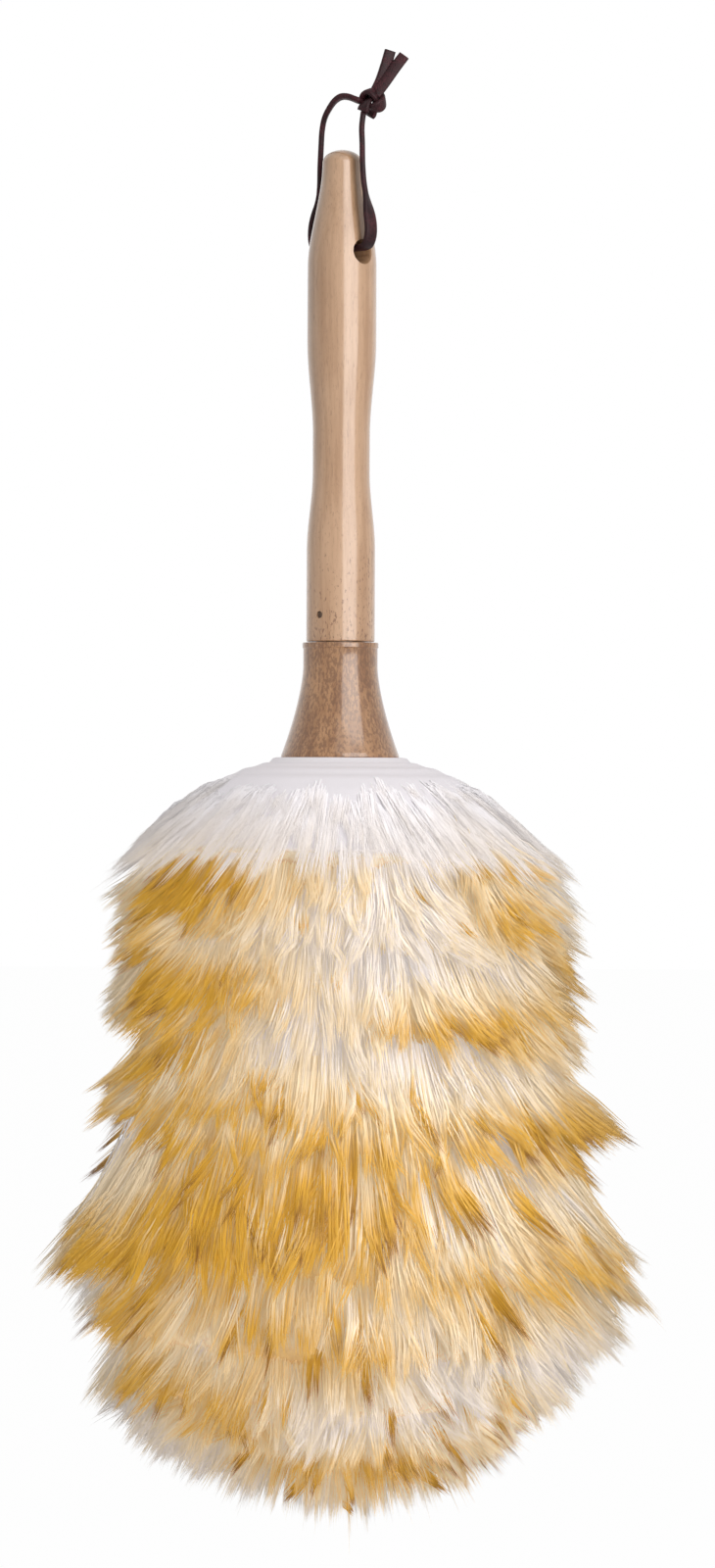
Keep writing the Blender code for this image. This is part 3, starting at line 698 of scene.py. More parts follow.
bmesh.ops.create_cone(
    bm, cap_ends=True, segments=DRILL_SIDES, radius1=PATCH_R * MM, radius2=PATCH_R * MM,
    depth=HIDE_T * MM, matrix=Matrix.Translation((0, 0, end_z - (BORE_GAP + HIDE_T / 2) * MM)),
)
rims = [e for e in bm.edges if len(e.link_faces) == 2 and e.calc_face_angle() > 1]
bmesh.ops.bevel(
    bm, geom=rims, offset=HIDE_EASE * MM, segments=3, affect="EDGES", profile=0.5, material=-1,
)
tack_hole = drill(TACK_HOLE_R * MM, TACK_HOLE_DEPTH * MM, Matrix.Translation((0, 0, end_z)))
patch_mesh = carved(closed_mesh(bm), [tack_hole])

# %% [markdown]
# ## Suede
# The skin is seen by nobody on the whole duster, but someone who takes the part apart meets it: a
# matt tan suede, whose nap is fine noise in the colour and in the bump.

# %% Suede
suede = Finish("suede_hide")
naps = suede.noise(suede.place(), 1800, 3)
patches = suede.noise(suede.place(), 120, 3)
worn = suede.rises(naps * 0.5 + patches * 0.5, 0.35, 0.65)
hide = suede.surface(
    Base_Color=suede.mix(worn, rgb(222, 200, 172), rgb(196, 168, 134)),
    Roughness=0.85, Normal=suede.bump(naps, 0.5, 0.2 * MM),
)
add_piece("wound_hide", strip_mesh, hide, "duster", ["hide_strip"])
add_piece("end_hide", patch_mesh, hide, "duster", ["hide_patch"])

# %% [markdown]
# ## Rod, brad and tacks
# The CAD's own rod, brad and tacks have the right shape already, so they only get their finishes.

# %% Finishes of the small parts
birch = wood("birch_dowel", rgb(222, 194, 158), rgb(205, 172, 132), rgb(170, 130, 95), 0.3, coat=0.0)
iron = Finish("dulled_steel")
film = iron.noise(iron.place(), 1500, 3)
dull_steel = iron.surface(
    Base_Color=iron.mix(iron.rises(film, 0.35, 0.65), rgb(104, 88, 76), rgb(70, 54, 44)),
    Metallic=1.0, Roughness=film * 0.3 + 0.35, Normal=iron.bump(film, 0.3, 0.05 * MM),
)
small_parts = {"core_rod": birch}
small_parts.update(dict.fromkeys(("rod_brad", "top_tack", "end_tack", "patch_tack"), dull_steel))
for name, finish in small_parts.items():
    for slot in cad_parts[name].material_slots:
        slot.material = finish
    print(name, "gets", finish.name)

# %% [markdown]
# ## The wool's outline
# The fleece is a strip of sheepskin wound eight times down the rod. Its wool leaves the hide level,
# droops more the further out it gets, and is trimmed to one outline. These are the CAD's own
# figures in millimetres, written for whole arrays, because the wool has 177,000 fibres.

# %% Outline figures
HEAD_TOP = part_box("strip_wool")[1].z / MM
UPPER_R, FULL_R = 88.0, 109.0
WOOL_LENGTH, DROOP, DROOP_POWER = 278.0, 42.0, 1.7
SWELL_START, SWELL_END = 105.0, 190.0
PITCH = (ROD_LENGTH - STRIP_START) / (STRIP_TURNS - 1)
LAST_TURN = STRIP_TURNS - (STRIP_START + STRIP_GAP) / PITCH
UPPER_TIER_STEP, FULL_TIER_STEP = 10.0, 17.0
HALVINGS = 30


def droop(radius):
    """How far wool hangs below its root at this radius."""
    share = np.clip((radius - RIM_RADIUS) / (UPPER_R - RIM_RADIUS), 0, None)
    return DROOP * share ** DROOP_POWER


def swell(drop):
    """How far the barrel has grown from its upper size, 0, to its full one, 1."""
    return soft((drop - SWELL_START) / (SWELL_END - SWELL_START))


def wool_radius(drop):
    """Radius of the trimmed wool at this drop below the ferrule."""
    crown = blend(RIM_RADIUS, UPPER_R, np.sin(np.pi / 2 * np.clip(drop / DROOP, 0, 1)))
    barrel = blend(UPPER_R, FULL_R, swell(drop))
    end = np.clip((drop - SWELL_END) / (WOOL_LENGTH - SWELL_END), 0, 1)
    lower = np.where(drop < SWELL_END, barrel, FULL_R * np.sqrt(1 - end ** 2))
    return np.where(drop < DROOP, crown, lower)


def tier_step(drop):
    """How far a tier's upper edge lies inside its lower one at this drop."""
    return blend(UPPER_TIER_STEP, FULL_TIER_STEP, swell(drop))


def tip_radius(root_drop):
    """Radius where wool rooted at this drop meets the outline, by halving."""
    low, high = np.full_like(root_drop, RIM_RADIUS), np.full_like(root_drop, FULL_R)
    for _ in range(HALVINGS):
        between = (low + high) / 2
        inside = wool_radius(root_drop + droop(between)) > between
        low, high = np.where(inside, between, low), np.where(inside, high, between)
    return low


def strip_edges(turn):
    """Drops of the wound strip's upper and lower edge."""
    upper = np.maximum(0, STRIP_START + (turn - 1) * PITCH + STRIP_GAP)
    return upper, STRIP_START + np.minimum(turn, STRIP_TURNS - 1) * PITCH


print("the strip steps down", round(PITCH, 1), "mm a turn; wool is", WOOL_LENGTH, "mm long")

# %% [markdown]
# ## Where the wool is golden
# The fleece is white at its roots and cream along its length, and its tips are scorched gold to
# brown in patches, mostly on the lower edge of each tier. Noise would put them anywhere, so they
# are tables: a place round the head, in degrees to the right of its front, and a drop in
# millimetres. The front has its patches, dark tufts and swells where they are seen, and the back
# gets its own from a seeded draw.

# %% Golden patches, dark tufts and swells
FRONT = SIDE - math.pi / 2
# Turn, drop, half width in degrees, half height in mm, strength
PATCHES = [
    (-50, 46, 26, 14, 1.8), (-12, 45, 13, 9, 0.5), (10, 46, 8, 7, 0.35), (47, 42, 16, 10, 0.75),
    (56, 62, 14, 9, 0.9), (-40, 82, 28, 9, 0.75), (-66, 78, 12, 9, 0.7), (32, 98, 24, 9, 0.85),
    (-48, 107, 16, 10, 1.0), (58, 100, 12, 12, 0.7), (-70, 112, 14, 8, 0.9), (-58, 135, 22, 10, 1.0),
    (-20, 128, 26, 10, 0.7), (52, 138, 24, 10, 1.0), (12, 138, 20, 9, 0.6), (-36, 156, 15, 11, 1.1),
    (4, 160, 12, 9, 1.0), (24, 160, 9, 9, 0.9), (-62, 175, 24, 14, 1.0), (-30, 182, 20, 12, 0.9),
    (50, 172, 12, 8, 0.6), (42, 196, 15, 9, 1.1), (66, 190, 12, 10, 0.7), (-60, 204, 20, 10, 0.9),
    (-14, 214, 12, 8, 0.9), (6, 218, 10, 7, 0.9), (-54, 228, 18, 11, 0.9), (-30, 238, 14, 8, 0.8),
    (48, 238, 10, 9, 0.5), (-22, 262, 20, 9, 0.7), (14, 262, 18, 7, 0.4), (-6, 160, 30, 14, 1.3),
    (0, 190, 24, 12, 0.6), (24, 262, 26, 12, 0.6), (-52, 90, 26, 14, 0.5),
]
# Turn and drop of a slim brown tuft's tip, and its lean in mm
DARK_TUFTS = [
    (-32, 160, -6), (-23, 165, -3), (-8, 166, -1), (-3, 170, 1), (7, 181, 2), (10, 174, 3),
    (26, 174, 5), (29, 170, 6), (54, 142, 8), (-22, 213, -4), (-14, 217, -2), (-6, 229, 1),
    (6, 230, 3), (26, 234, 3), (17, 244, -3), (34, 216, 7), (38, 204, 7), (-44, 210, -7),
    (50, 248, 1), (-30, 256, -5), (20, 140, 5), (-14, 137, -2), (-46, 186, -6), (46, 172, 7),
    (30, 252, 4), (37, 258, 5), (23, 266, 3), (-8, 262, -1), (7, 268, 1), (44, 264, 6),
    (15, 256, 2), (-18, 270, -3),
]
# As the patches, where tips stand proud of the outline or fall short of it, in mm at the middle
SWELLS = [
    (-90, 64, 30, 8, -4), (-90, 110, 30, 7, -8), (-90, 136, 30, 6, -2), (-90, 156, 30, 14, -19),
    (-90, 180, 30, 8, -3), (-90, 198, 30, 8, 6), (-90, 218, 34, 12, -25), (-90, 240, 30, 8, 4),
    (90, 35, 26, 6, 14), (90, 64, 26, 7, 9), (90, 92, 26, 10, 8), (90, 112, 26, 9, 4),
    (90, 137, 26, 8, 16), (90, 154, 26, 7, -10), (90, 168, 26, 7, -10), (90, 182, 26, 9, 13),
    (90, 206, 26, 12, 9), (90, 232, 26, 7, -2), (90, 256, 30, 12, -22),
]
BACK_MARKS = 34
draw = np.random.default_rng(5)
for _ in range(BACK_MARKS):
    PATCHES.append((
        draw.uniform(85, 275), draw.uniform(40, 265), draw.uniform(9, 26), draw.uniform(8, 13),
        draw.uniform(0.5, 1.1),
    ))
    DARK_TUFTS.append((draw.uniform(105, 255), draw.uniform(110, 225), draw.uniform(-6, 6)))


def marks(table, angle, drop):
    """Sum of a table's soft marks at these places."""
    total = np.zeros_like(drop)
    for turn, height, half_turn, half_height, strength in table:
        off = np.degrees(np.mod(angle - FRONT - math.radians(turn) + np.pi, 2 * np.pi) - np.pi)
        total += strength * np.exp(-(off / half_turn) ** 2 - ((drop - height) / half_height) ** 2)
    return total


def chance(size):
    """Even random numbers from 0 to 1."""
    return draw.uniform(0, 1, size)


print(len(PATCHES), "golden patches and", len(DARK_TUFTS), "dark tufts")

# %% [markdown]
# ## Locks
# Wool doesn't grow evenly: it gathers in pointed locks, here of 32 fibres each. Particles could
# comb them, but locks that are worked out stay in their tier at every pose and in every export. A
# lock starts inside the fleece and ends on the outline, on a bent line from its start over a
# turning point to its tip, all as (radius, drop). Locks lean together like combed wool, with a
# little chance, and each knows how golden it is at its tip and where it comes into sight.

# %% Ways of a lock
END_SLOPES = ((0, 26), (60, 31), (170, 36), (235, 50), (280, 70))
BEND_SHARE, RIPPLES, RIPPLE_KINDS, RIPPLE_SIZE = 0.45, 7, 4, 2.2
locks = {}
ripples = [
    (draw.integers(1, 12), draw.uniform(-0.09, 0.09), draw.uniform(0, 6.3), draw.uniform(0.4, 1.0), kind)
    for kind in range(RIPPLE_KINDS) for _ in range(RIPPLES)
]


def ripple(kind, angle, drop):
    """A smooth irregular value about -1 to 1, which differs for each kind."""
    parts = [
        size * np.sin(turns * angle + fall * drop + start)
        for turns, fall, start, size, which in ripples if which == kind
    ]
    return sum(parts) / RIPPLE_SIZE


def add_locks(piece, angle, start, bend, tip, **looks):
    """Keeps one value per lock for a piece. Start, bend and tip are each (radius, drop)."""
    values = {"angle": angle, **looks}
    for name, (radius, drop) in (("start", start), ("bend", bend), ("tip", tip)):
        values[name + "_r"], values[name + "_drop"] = radius, drop
    locks.setdefault(piece, []).append({
        key: np.broadcast_to(value, len(angle)).astype(float) for key, value in values.items()
    })


def bent(start, tip, fall):
    """Turning point of a line that reaches its tip at this many degrees below level."""
    radius = start[0] + BEND_SHARE * (tip[0] - start[0])
    drop = tip[1] - np.tan(np.radians(fall)) * (tip[0] - radius)
    return radius, np.maximum(drop, start[1])


def golden_from(drop):
    """The crown stays white: 0 there and 1 where gold may start."""
    return soft((drop - 26) / 12)


def gold_halfway(angle, start, bend, tip):
    """Goldenness of the place where a lock comes out from under those above it."""
    drop = 0.2 * start[1] + 0.5 * bend[1] + 0.3 * tip[1]
    return (0.5 * marks(PATCHES, angle, drop) + 0.1) * golden_from(drop)


def end_fall(drop):
    """Degrees below level at which wool points at its tips."""
    return np.interp(drop, *np.transpose(END_SLOPES)) + draw.normal(0, 5, len(drop))


# %% [markdown]
# ## Locks of every tier
# Each turn of the strip is a grid of locks, a hundred round and six across its width. The ones at
# its upper edge end deeper in and a little lower, which makes the tier's slope, and those at its
# lower edge are its lip, where the wool is most golden. A few tips stick out.

# %% Locks of every tier
COLUMNS, ROWS = 100, 6
GATHER, LEAST_SHARE, LEAST_REACH = 0.3, 0.3, 66
TIP_RIPPLE, TIP_JITTER, RADIUS_RIPPLE, RADIUS_JITTER, RAISED = 4.5, 3.5, 1.5, 4.0, 2
PROUD_SHARE, PROUD_REACH = 0.1, (1, 7)
START_SHARE, FIRST_START_DROP = 0.72, 7
CREAM, CREAM_RIPPLE, CREAM_LOST = 0.14, 0.06, 0.7
GOLD_LIMIT, BROWN_SHARE, BROWN_STEP = 0.62, 0.2, 0.6

for turn in range(STRIP_TURNS):
    column, row = (grid.ravel() for grid in np.meshgrid(np.arange(COLUMNS), np.arange(ROWS)))
    at = turn + (column + chance(len(column))) / COLUMNS
    across = (row + chance(len(row))) / ROWS
    upper, lower = strip_edges(at)
    keep = (at < LAST_TURN) & (chance(len(at)) < np.maximum((lower - upper) / PITCH, LEAST_SHARE))
    keep &= tip_radius(upper + (lower - upper) * across) > LEAST_REACH
    at, across, upper, lower = at[keep], across[keep], upper[keep], lower[keep]
    count, angle, root = len(at), 2 * np.pi * at, upper + (lower - upper) * across
    free_r = tip_radius(root)
    tip_drop = root + droop(free_r) + GATHER * (lower - upper) * (1 - across)
    tip_drop = tip_drop + TIP_RIPPLE * ripple(0, angle, root) + draw.normal(0, TIP_JITTER, count)
    if turn == 0:
        tip_drop = np.maximum(tip_drop, root + droop(free_r) - 1)
    tip_r = np.minimum(wool_radius(tip_drop), free_r + 5)
    tip_r = tip_r - tier_step(tip_drop) * (1 - across) ** 1.5
    tip_r = tip_r + RADIUS_RIPPLE * ripple(1, angle, root) + marks(SWELLS, angle, tip_drop)
    tip_r = tip_r - np.abs(draw.normal(0, RADIUS_JITTER, count)) + RAISED
    tip_r = tip_r + np.where(chance(count) < PROUD_SHARE, draw.uniform(*PROUD_REACH, count), 0)
    start_r = START_SHARE * tip_r
    start = start_r, root + droop(start_r) + (FIRST_START_DROP if turn == 0 else 0)
    tip = tip_r, tip_drop
    bend = bent(start, tip, end_fall(tip_drop))
    cream = CREAM + CREAM_RIPPLE * ripple(3, angle, root)
    cream = cream * (1 - CREAM_LOST * soft((tip_drop - 195) / 40))
    gold = marks(PATCHES, angle, tip_drop) * (0.3 + 0.8 * across) + cream
    gold = np.minimum(gold, GOLD_LIMIT) * golden_from(tip_drop)
    gold = np.where(chance(count) < BROWN_SHARE * gold, gold + BROWN_STEP, gold)
    wildness = 3 + 2 * soft((tip_drop - 100) / 60)
    add_locks(
        f"wool_turn_{turn + 1}", angle, start, bend, tip,
        lean=6 * ripple(2, angle, root) + draw.normal(0, 1, count) * wildness,
        root_gold=gold_halfway(angle, start, bend, tip),
        gold=gold + draw.normal(0, 0.05, count), half_width=3.4, half_depth=3.0, point=0.75,
    )

# %% [markdown]
# ## Dark tufts
# Here and there slim tufts are brown to the root: partly scorched wool and partly painted shade,
# which stands for the dark gaps between locks. They are two narrow locks each, and they start deeper
# than the others, because a pale start would stand out as a slab.

# %% Dark tufts
# Brown tufts, partly scorched wool and partly painted shade for the dark gaps between locks
turn, tip_drop, lean = (np.repeat(values, 2) for values in np.transpose(DARK_TUFTS))
angle = FRONT + np.radians(turn + draw.normal(0, 0.8, len(turn)))
tip_drop = tip_drop + draw.normal(0, 2.5, len(turn))
tip_r = wool_radius(tip_drop) - draw.uniform(0, 3, len(turn))
start_r = 0.66 * tip_r
start, tip = (start_r, tip_drop - droop(tip_r) + droop(start_r)), (tip_r, tip_drop)
add_locks(
    "wool_tufts", angle, start, bent(start, tip, end_fall(tip_drop) + 4), tip,
    lean=lean, root_gold=0.6, gold=1.0, half_width=2.2, half_depth=2.2, point=0.9,
)
print({piece: sum(len(batch["angle"]) for batch in batches) for piece, batches in locks.items()})

# %% [markdown]
# ## Crown and end
# The crown under the ferrule is long white wool combed flat, so its locks run all the way from near
# the ferrule's rim and are thin. The bottom is the round patch's wool: it fans out from the rod's
# end, from level round its rim to straight down in the middle. Its locks sit on a sunflower's
# spiral, which spreads them evenly without rows.

# %% Locks of the crown and of the end
CROWN_LOCKS, CROWN_TIPS, CROWN_REACH = 560, 56, 33
angle = 2 * np.pi * (np.arange(CROWN_LOCKS) + chance(CROWN_LOCKS)) / CROWN_LOCKS
root = draw.uniform(0.8, 5.0, CROWN_LOCKS)
tip_r = CROWN_TIPS + CROWN_REACH * chance(CROWN_LOCKS) ** 0.6
start_r = draw.uniform(21, 40, CROWN_LOCKS)
start, tip = (start_r, root + droop(start_r) + 2), (tip_r, root + droop(tip_r))
bend = bent(start, tip, draw.normal(40, 4, CROWN_LOCKS))
gold = 0.08 * np.minimum(1, marks(PATCHES, angle, tip[1] + 6)) * soft((tip[1] - 30) / 8)
add_locks(
    "wool_crown", angle, start, bend, tip, lean=draw.normal(0, 3, CROWN_LOCKS), root_gold=0,
    gold=gold, half_width=4.0, half_depth=0.5, point=0.3,
)

END_LOCKS, END_ROOT_DROP, END_LIFT, END_REACH = 600, 226.0, 42, 76
share = np.sqrt((np.arange(END_LOCKS) + chance(END_LOCKS)) / END_LOCKS)
angle = np.pi * (1 + 5 ** 0.5) * np.arange(END_LOCKS)
tip_drop = WOOL_LENGTH - END_LIFT * share ** 3 + draw.normal(0, 2, END_LOCKS)
outline_r = wool_radius(np.minimum(tip_drop, WOOL_LENGTH - 0.5))
tip_r = np.minimum(outline_r, END_REACH * share + 4)
start, tip = (0.4 * tip_r, np.full(END_LOCKS, END_ROOT_DROP)), (tip_r, tip_drop)
bend = 0.75 * tip_r, start[1] + 0.4 * (tip_drop - start[1])
add_locks(
    "wool_end", angle, start, bend, tip, lean=draw.normal(0, 4, END_LOCKS),
    root_gold=gold_halfway(angle, start, bend, tip),
    gold=0.08 + 0.8 * marks(PATCHES, angle, tip_drop) + draw.normal(0, 0.1, END_LOCKS),
    half_width=3.6, half_depth=3.4, point=0.75,
)
print(CROWN_LOCKS, "locks on the crown and", END_LOCKS, "at the end")

# %% [markdown]
# ## Fibres
# Every fibre is a slim closed spike: two three-cornered rings and a point. Hair curves are easier to
# comb, but they don't export as a mesh, and joining rings one by one with bmesh operators would take
# minutes for 177,000 fibres. So their lines and corners are worked out as arrays. A lock's fibres
# gather toward its tip, wave together, and a few loose or stray ones leave it.

# %% Fibres from locks
FIBRES, RINGS = 32, np.array([0.0, 0.55])
LENGTH, SHORTER, STRAY_SHARE, STRAY_REACH = 1.03, 0.26, 0.05, (0.02, 0.10)
LOOSE_SHARE, LOOSE_SPREAD, LOOSE_GATHER, GATHER_POWER = 0.4, 1.5, 0.2, 1.8
LEAN_POWER, WAVE_ACROSS, WAVE_DEEP = 2.4, (0.7, 7.5), (0.6, 6)


def fibre_lines(lock):
    """Middle lines of a batch's fibres, their tints, and the direction round the head."""
    batch = len(lock["angle"])
    single = (batch * FIBRES, 1)
    each = {key: np.repeat(value, FIBRES)[:, None] for key, value in lock.items()}
    around, outward = draw.uniform(0, 2 * np.pi, single), np.sqrt(chance(single))
    across, deep = np.cos(around) * outward, np.sin(around) * outward
    long = LENGTH - SHORTER * outward ** 1.5 * draw.uniform(0.3, 1.3, single)
    stray = chance(single) < STRAY_SHARE
    long = np.where(stray, long + draw.uniform(*STRAY_REACH, single), long)
    s = np.append(RINGS, 1.0)[None, :] * long
    radius, drop = (
        (1 - s) ** 2 * each["start" + way] + 2 * s * (1 - s) * each["bend" + way]
        + s ** 2 * each["tip" + way] for way in ("_r", "_drop")
    )
    loose = chance(single) < LOOSE_SHARE
    gather = 1 - np.where(loose, LOOSE_GATHER, each["point"]) * np.clip(s, 0, 1) ** GATHER_POWER
    spread = np.where(loose, LOOSE_SPREAD, 1.0) * gather
    wave = draw.normal(0, 0.5, single) + np.repeat(draw.uniform(0, 6.3, batch), FIBRES)[:, None]
    sideways = across * spread * each["half_width"] * np.clip(radius / each["tip_r"], 0.25, 1.0)
    sideways += each["lean"] * s ** LEAN_POWER
    sideways += WAVE_ACROSS[0] * s * np.sin(wave + WAVE_ACROSS[1] * s)
    steep = np.arctan2(np.gradient(drop, axis=1), np.maximum(np.gradient(radius, axis=1), 0.01))
    raised = deep * spread * each["half_depth"] + WAVE_DEEP[0] * s * np.cos(wave + WAVE_DEEP[1] * s)
    radius, drop = radius + raised * np.sin(steep), np.maximum(drop - raised * np.cos(steep), 0.5)
    angle = each["angle"]
    x = radius * np.cos(angle) - sideways * np.sin(angle)
    y = radius * np.sin(angle) + sideways * np.cos(angle)
    uneven = 0.01 + 0.1 * np.clip(each["gold"], 0, 0.3)
    tint = blend(each["root_gold"], each["gold"], np.append(np.zeros(len(RINGS)), 1.0))
    tint = np.clip(tint + uneven * draw.normal(0, 1, single), 0.0, 1.0)
    side = np.concatenate([-np.sin(angle), np.cos(angle), np.zeros_like(angle)], axis=1)
    return np.stack([x, y, HEAD_TOP - drop], axis=2) * MM, tint, side


# %% [markdown]
# ## One mesh of spikes
# The corners are handed over to a mesh all at once. Its UV map is a small chart, made to be baked
# as it is: u runs from a fibre's root to its tip, v says how golden it is there, and its three
# sides lie side by side. Own normals point away from the head, and more upward on the crown, so
# light falls on the fleece as on one soft body and not on 177,000 hard sticks.

# %% A mesh of spikes
FIBRE_RADIUS, THICKNESSES, CORNERS = 0.27, (0.75, 1.25), 3
U_FROM, U_LENGTH, V_FROM, V_LENGTH, SIDE_STEP = 0.015, 0.97, 0.012, 0.965, 0.003
OWN_ROUNDNESS = 0.05
# The faces of a spike, whose corners are (ring, place round it). The point is ring 2.
QUADS = np.array([[(0, c), (0, c + 1), (1, c + 1), (1, c)] for c in range(CORNERS)], float)
TRIANGLES = np.array(
    [[(1, c), (1, c + 1), (2, c + 0.5)] for c in range(CORNERS)] + [[(0, 2), (0.2, 1), (0, 0)]], float,
)


def vertices_of(faces):
    """Numbers of a spike's vertices at the corners of these faces."""
    ring = np.rint(faces[..., 0]).astype(int)
    around = np.mod(faces[..., 1], CORNERS).astype(int)
    return ring * CORNERS + np.where(ring == len(RINGS), 0, around)


def charted(faces, tints):
    """UVs of these faces on every spike, each spike's in a row."""
    along = np.append(RINGS, 1.0) * U_LENGTH + U_FROM
    u = np.interp(faces[..., 0], np.arange(len(along)), along)
    tint = tints[:, np.rint(faces[..., 0]).astype(int)]
    v = V_FROM + tint * V_LENGTH + faces[..., 1] * SIDE_STEP
    return np.stack([np.broadcast_to(u, v.shape), v], axis=-1).reshape(len(tints), -1, 2)


def unit(vectors):
    return vectors / np.linalg.norm(vectors, axis=2, keepdims=True)


def fibre_mesh(name, lines, tints, sides, facing, start_share):
    """Closed spikes along these lines. Facing turns their normals up along the pile."""
    count, rings = len(lines), len(RINGS)
    ahead = unit(np.gradient(lines, axis=1))
    across = sides[:, None, :]
    side = unit(across - ahead * np.sum(across * ahead, axis=2, keepdims=True))
    face = np.cross(ahead, side)
    thick = FIBRE_RADIUS * MM * draw.uniform(*THICKNESSES, (count, 1)) * np.array([start_share, 1.0])
    roll = draw.uniform(0, 2 * np.pi, (count, 1))
    corners = np.zeros((count, rings * CORNERS + 1, 3))
    for corner in range(CORNERS):
        turn = roll + 2 * np.pi * corner / CORNERS
        offset = side[:, :rings] * np.cos(turn)[:, :, None] + face[:, :rings] * np.sin(turn)[:, :, None]
        corners[:, corner:rings * CORNERS:CORNERS] = lines[:, :rings] + offset * thick[:, :, None]
    corners[:, -1] = lines[:, -1]

    start = (np.arange(count) * corners.shape[1])[:, None, None]
    tables = (QUADS, TRIANGLES)
    loops = np.concatenate([(start + vertices_of(t)).reshape(count, -1) for t in tables], axis=1)
    uvs = np.concatenate([charted(t, tints) for t in tables], axis=1)
    sizes = np.tile([4] * len(QUADS) + [3] * len(TRIANGLES), count)
    mesh = bpy.data.meshes.new(name)
    mesh.vertices.add(count * corners.shape[1])
    mesh.vertices.foreach_set("co", corners.ravel())
    mesh.loops.add(loops.size)
    mesh.loops.foreach_set("vertex_index", loops.ravel().astype(np.int32))
    mesh.polygons.add(len(sizes))
    firsts = np.concatenate([[0], np.cumsum(sizes)[:-1]]).astype(np.int32)
    mesh.polygons.foreach_set("loop_start", firsts)
    mesh.update(calc_edges=True)
    mesh.uv_layers.new(name="OFBake").data.foreach_set("uv", uvs.ravel())
    mesh.validate()

    level = np.cross(sides, np.array([0, 0, 1.0]))[:, None, :] + face * facing
    own = unit(corners[:, :-1] - np.repeat(lines[:, :rings], CORNERS, axis=1))
    round_rings = own * OWN_ROUNDNESS + np.repeat(level[:, :rings], CORNERS, axis=1)
    normals = unit(np.concatenate([round_rings, level[:, -1:]], axis=1))
    mesh.normals_split_custom_set_from_vertices(normals.reshape(-1, 3))
    return mesh


# %% [markdown]
# ## The wool's colours
# The colour reads the chart: along the fibre it goes from white through cream to the tip's gold or
# brown, and the tint says how far. Fine streaks across the tints make neighbours differ, as real
# fibres do. Real wool also lets light through and looks softly lit even in its own shade. Subsurface
# scattering would do that and can't be baked, so a weak emission of the same colour stands for it:
# a painted glow, which also lifts the shade between the fibres.

# %% Wool finish
# A painted glow: the emission strength that lifts the wool's shade
PAINTED_GLOW = 0.26
silky = Finish("silky_wool")
grid = silky.node("ShaderNodeUVMap", {"uv_map": "OFBake"})
along = silky.node("ShaderNodeSeparateXYZ", None, {"Vector": grid})
tint = Wire(silky, along.socket.node.outputs[1])
stretched = silky.node("ShaderNodeMapping", None, {"Vector": grid, "Scale": (2.5, 260, 1)})
streak = silky.noise(stretched, 1.0, 2)
cream_share = silky.rises(tint * 1.6 + along * 0.3, 0.1, 0.7)
shade = silky.mix(cream_share, rgb(249, 246, 251), rgb(252, 228, 190))
gold_share = silky.rises(along + tint * 0.8, 0.65, 1.25) * silky.rises(tint, 0.14, 0.6)
shade = silky.mix(gold_share, shade, rgb(230, 176, 56))
brown_share = silky.rises(along + tint * 0.6, 1.1, 1.5) * silky.rises(tint, 0.55, 0.95)
shade = silky.mix(brown_share, shade, rgb(138, 84, 26))
shade = silky.mix(silky.rises(streak, 0.3, 0.75) * 0.06, shade, rgb(228, 190, 130))
wool = silky.surface(
    Base_Color=shade, Emission_Color=shade, Emission_Strength=PAINTED_GLOW,
    Roughness=0.6, Sheen_Weight=0.3, Sheen_Roughness=0.35,
)

# %% [markdown]
# ## The wool's pieces
# One mesh of all fibres would be too heavy to work on, so each turn of the strip is a piece, and so
# are the dark tufts, the crown and the end. The crown lies flat and shows its starts, so its
# fibres look up along the pile and start thin.

# %% The wool's pieces
PILE, COMBED_FLAT = (0.3, 0.8), (1.6, 0.3)  # facing and start share
for piece, batches in locks.items():
    made = [fibre_lines(batch) for batch in batches]
    lines, tints, sides = (np.concatenate(parts) for parts in zip(*made))
    node = "patch_wool" if piece == "wool_end" else "strip_wool"
    looks = COMBED_FLAT if piece == "wool_crown" else PILE
    add_piece(piece, fibre_mesh(piece, lines, tints, sides, *looks), wool, "duster", [node])

# %% [markdown]
# ## The fleece's body
# Between fibres the dense underwool shows, so the fleece needs a body, or the rod would be seen
# through it. It is a spun outline some way under the tips. Each tier then bulges by moving the
# vertices outward, which a formula does more evenly than sculpting. The shallow rings on top are
# where the crown's wool is wound under the ferrule. An attribute carries the golden patches.

# %% Body of the fleece under the fibres
FIBRE_LAYER, BODY_STEPS, BODY_BORE = 16.0, 150, 8.7
BARREL_FROM, CAP_FROM, CAP_TO, CAP_POINTS, CAP_GAP = 40, 26, 72, 66, 0.9
CAP_RING, CAP_RING_PITCH = 0.22, 7.5
BULGE_SHARE = 0.6


def tier_share(angle, drop):
    """0 at the upper edge of the tier that shows here, 1 at its lower edge."""
    root = drop - droop(wool_radius(drop))
    return np.mod((root - STRIP_START) / PITCH + 1 - angle / (2 * np.pi), 1)


inner_length = WOOL_LENGTH - FIBRE_LAYER - SWELL_END
round_end = SWELL_END + inner_length * np.sin(np.linspace(0.03, 1.52, 40))
drops = np.append(np.linspace(BARREL_FROM, SWELL_END, 60), round_end)
inner = wool_radius(np.minimum(drops, SWELL_END)) - FIBRE_LAYER - tier_step(drops)
inner = inner * np.sqrt(1 - np.clip((drops - SWELL_END) / inner_length, 0, 1) ** 2)
outline = [(BODY_BORE, 0.3), (21.9, 0.4), (22.3, -0.3), (23.2, -0.6), (24.6, -0.3)]
for r in np.linspace(CAP_FROM, CAP_TO, CAP_POINTS):
    layer = CAP_RING * math.sin(2 * math.pi * (r - 22) / CAP_RING_PITCH) * (1 - soft((r - 36) / 16))
    outline.append((float(r), CAP_GAP + float(droop(r)) * (1.02 + 0.2 * soft((r - 40) / 20)) + layer))
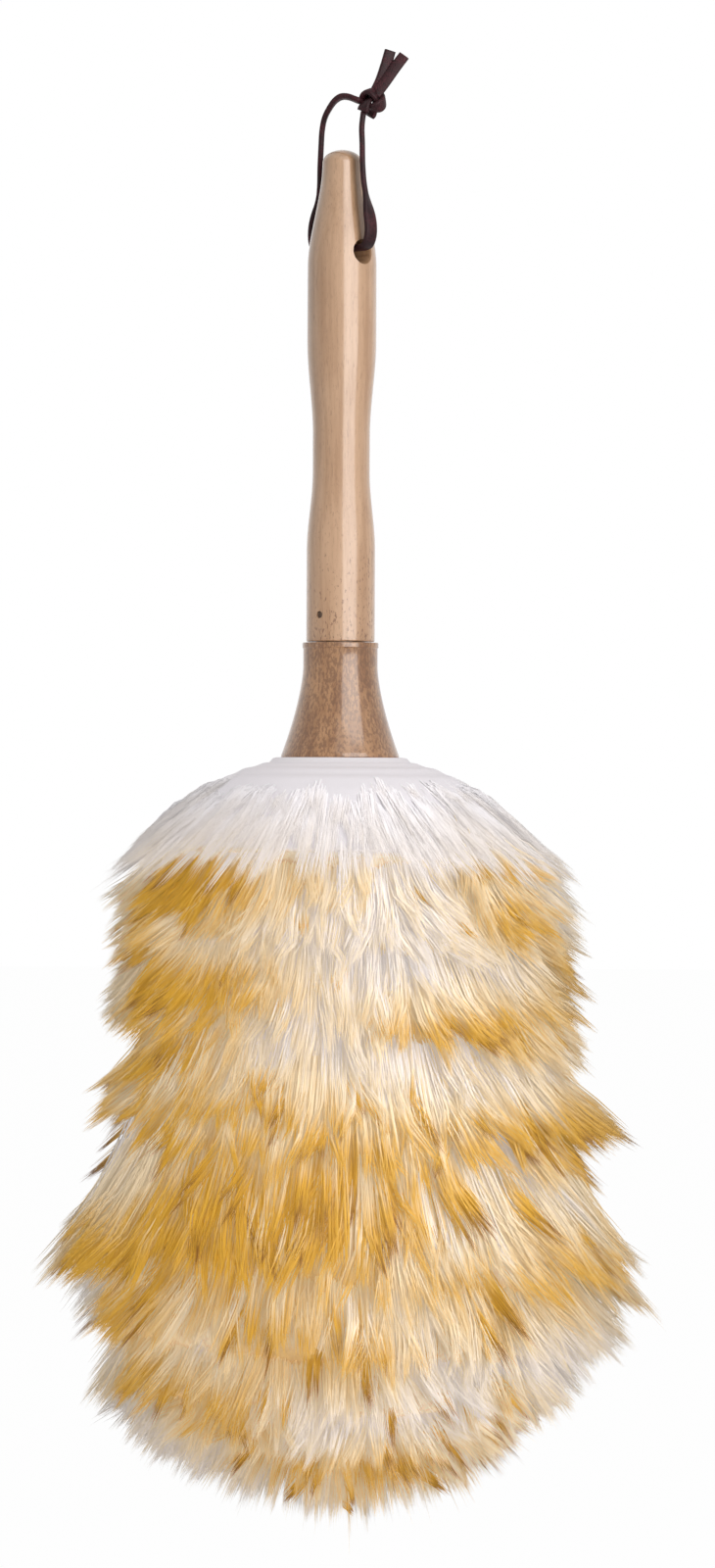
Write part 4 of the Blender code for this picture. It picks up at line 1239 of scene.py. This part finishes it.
outline += [(float(r), float(d)) for r, d in zip(inner, drops) if r > 9]
outline += [(BODY_BORE, float(drops[-1]) + 0.5)]
body_mesh = turned([(r, d - HEAD_TOP) for r, d in outline], closed=True, steps=BODY_STEPS)
places = np.empty(len(body_mesh.vertices) * 3)
body_mesh.vertices.foreach_get("co", places)
places = places.reshape(-1, 3)
angle, drop = np.arctan2(places[:, 1], places[:, 0]), HEAD_TOP - places[:, 2] / MM
radius = np.hypot(places[:, 0], places[:, 1]) / MM
bulge = BULGE_SHARE * tier_step(drop) * np.sin(np.pi * tier_share(angle, drop))
bulge = bulge * soft((drop - 45) / 15) * soft((250 - drop) / 20)
places[:, :2] *= (1 + np.where(radius > 30, bulge / radius, 0))[:, None]
body_mesh.vertices.foreach_set("co", places.ravel())
gold = marks(PATCHES, angle, drop) * (0.3 + 0.8 * tier_share(angle, drop)) + 0.1
gold = (np.clip(gold, 0, 1) * soft((drop - 30) / 10)).astype(np.float32)
body_mesh.attributes.new("gold", "FLOAT", "POINT").data.foreach_set("value", gold)

# %% [markdown]
# ## The body's colours
# On the crown the body is a pale grey, darker than the fibres' white: painted shade that matches the
# self-shadowed locks round it. Elsewhere it has a paler gold than the tips where the patches are, so
# that no hard edge shows where locks come out of it. Fine strands run down it in the bump, and in the
# colour as a darker tan, partly strand texture and partly painted shade, so that bare body reads as
# shadowed wool.

# %% Body finish
fleece = Finish("fleece_body")
where = fleece.place((1, 1, 0.15))
strands_and_shade = fleece.noise(where, 320, 4)
gold_there = fleece.node("ShaderNodeAttribute", {"attribute_name": "gold"}, out=2)
off_crown = fleece.rises(gold_there, 0.0, 0.1)
# Painted shade: the crown's pale grey stands for the shade among its fibres
under = fleece.mix(off_crown, rgb(229, 224, 227), rgb(246, 226, 196))
under = fleece.mix(fleece.rises(gold_there, 0.15, 0.8), under, rgb(228, 192, 134))
# Painted shade: a darker tan along the strands, so that bare body looks like shadowed wool
under = fleece.mix(fleece.rises(strands_and_shade, 0.4, 0.7) * off_crown * 0.6, under, rgb(212, 176, 130))
# The body has the same painted glow as the fibres
body_finish = fleece.surface(
    Base_Color=under, Emission_Color=under, Emission_Strength=PAINTED_GLOW,
    Roughness=0.8, Normal=fleece.bump(strands_and_shade * off_crown, 0.8, 1.5 * MM),
)
add_piece("wool_body", body_mesh, body_finish, "duster", ["strip_wool", "patch_wool"])
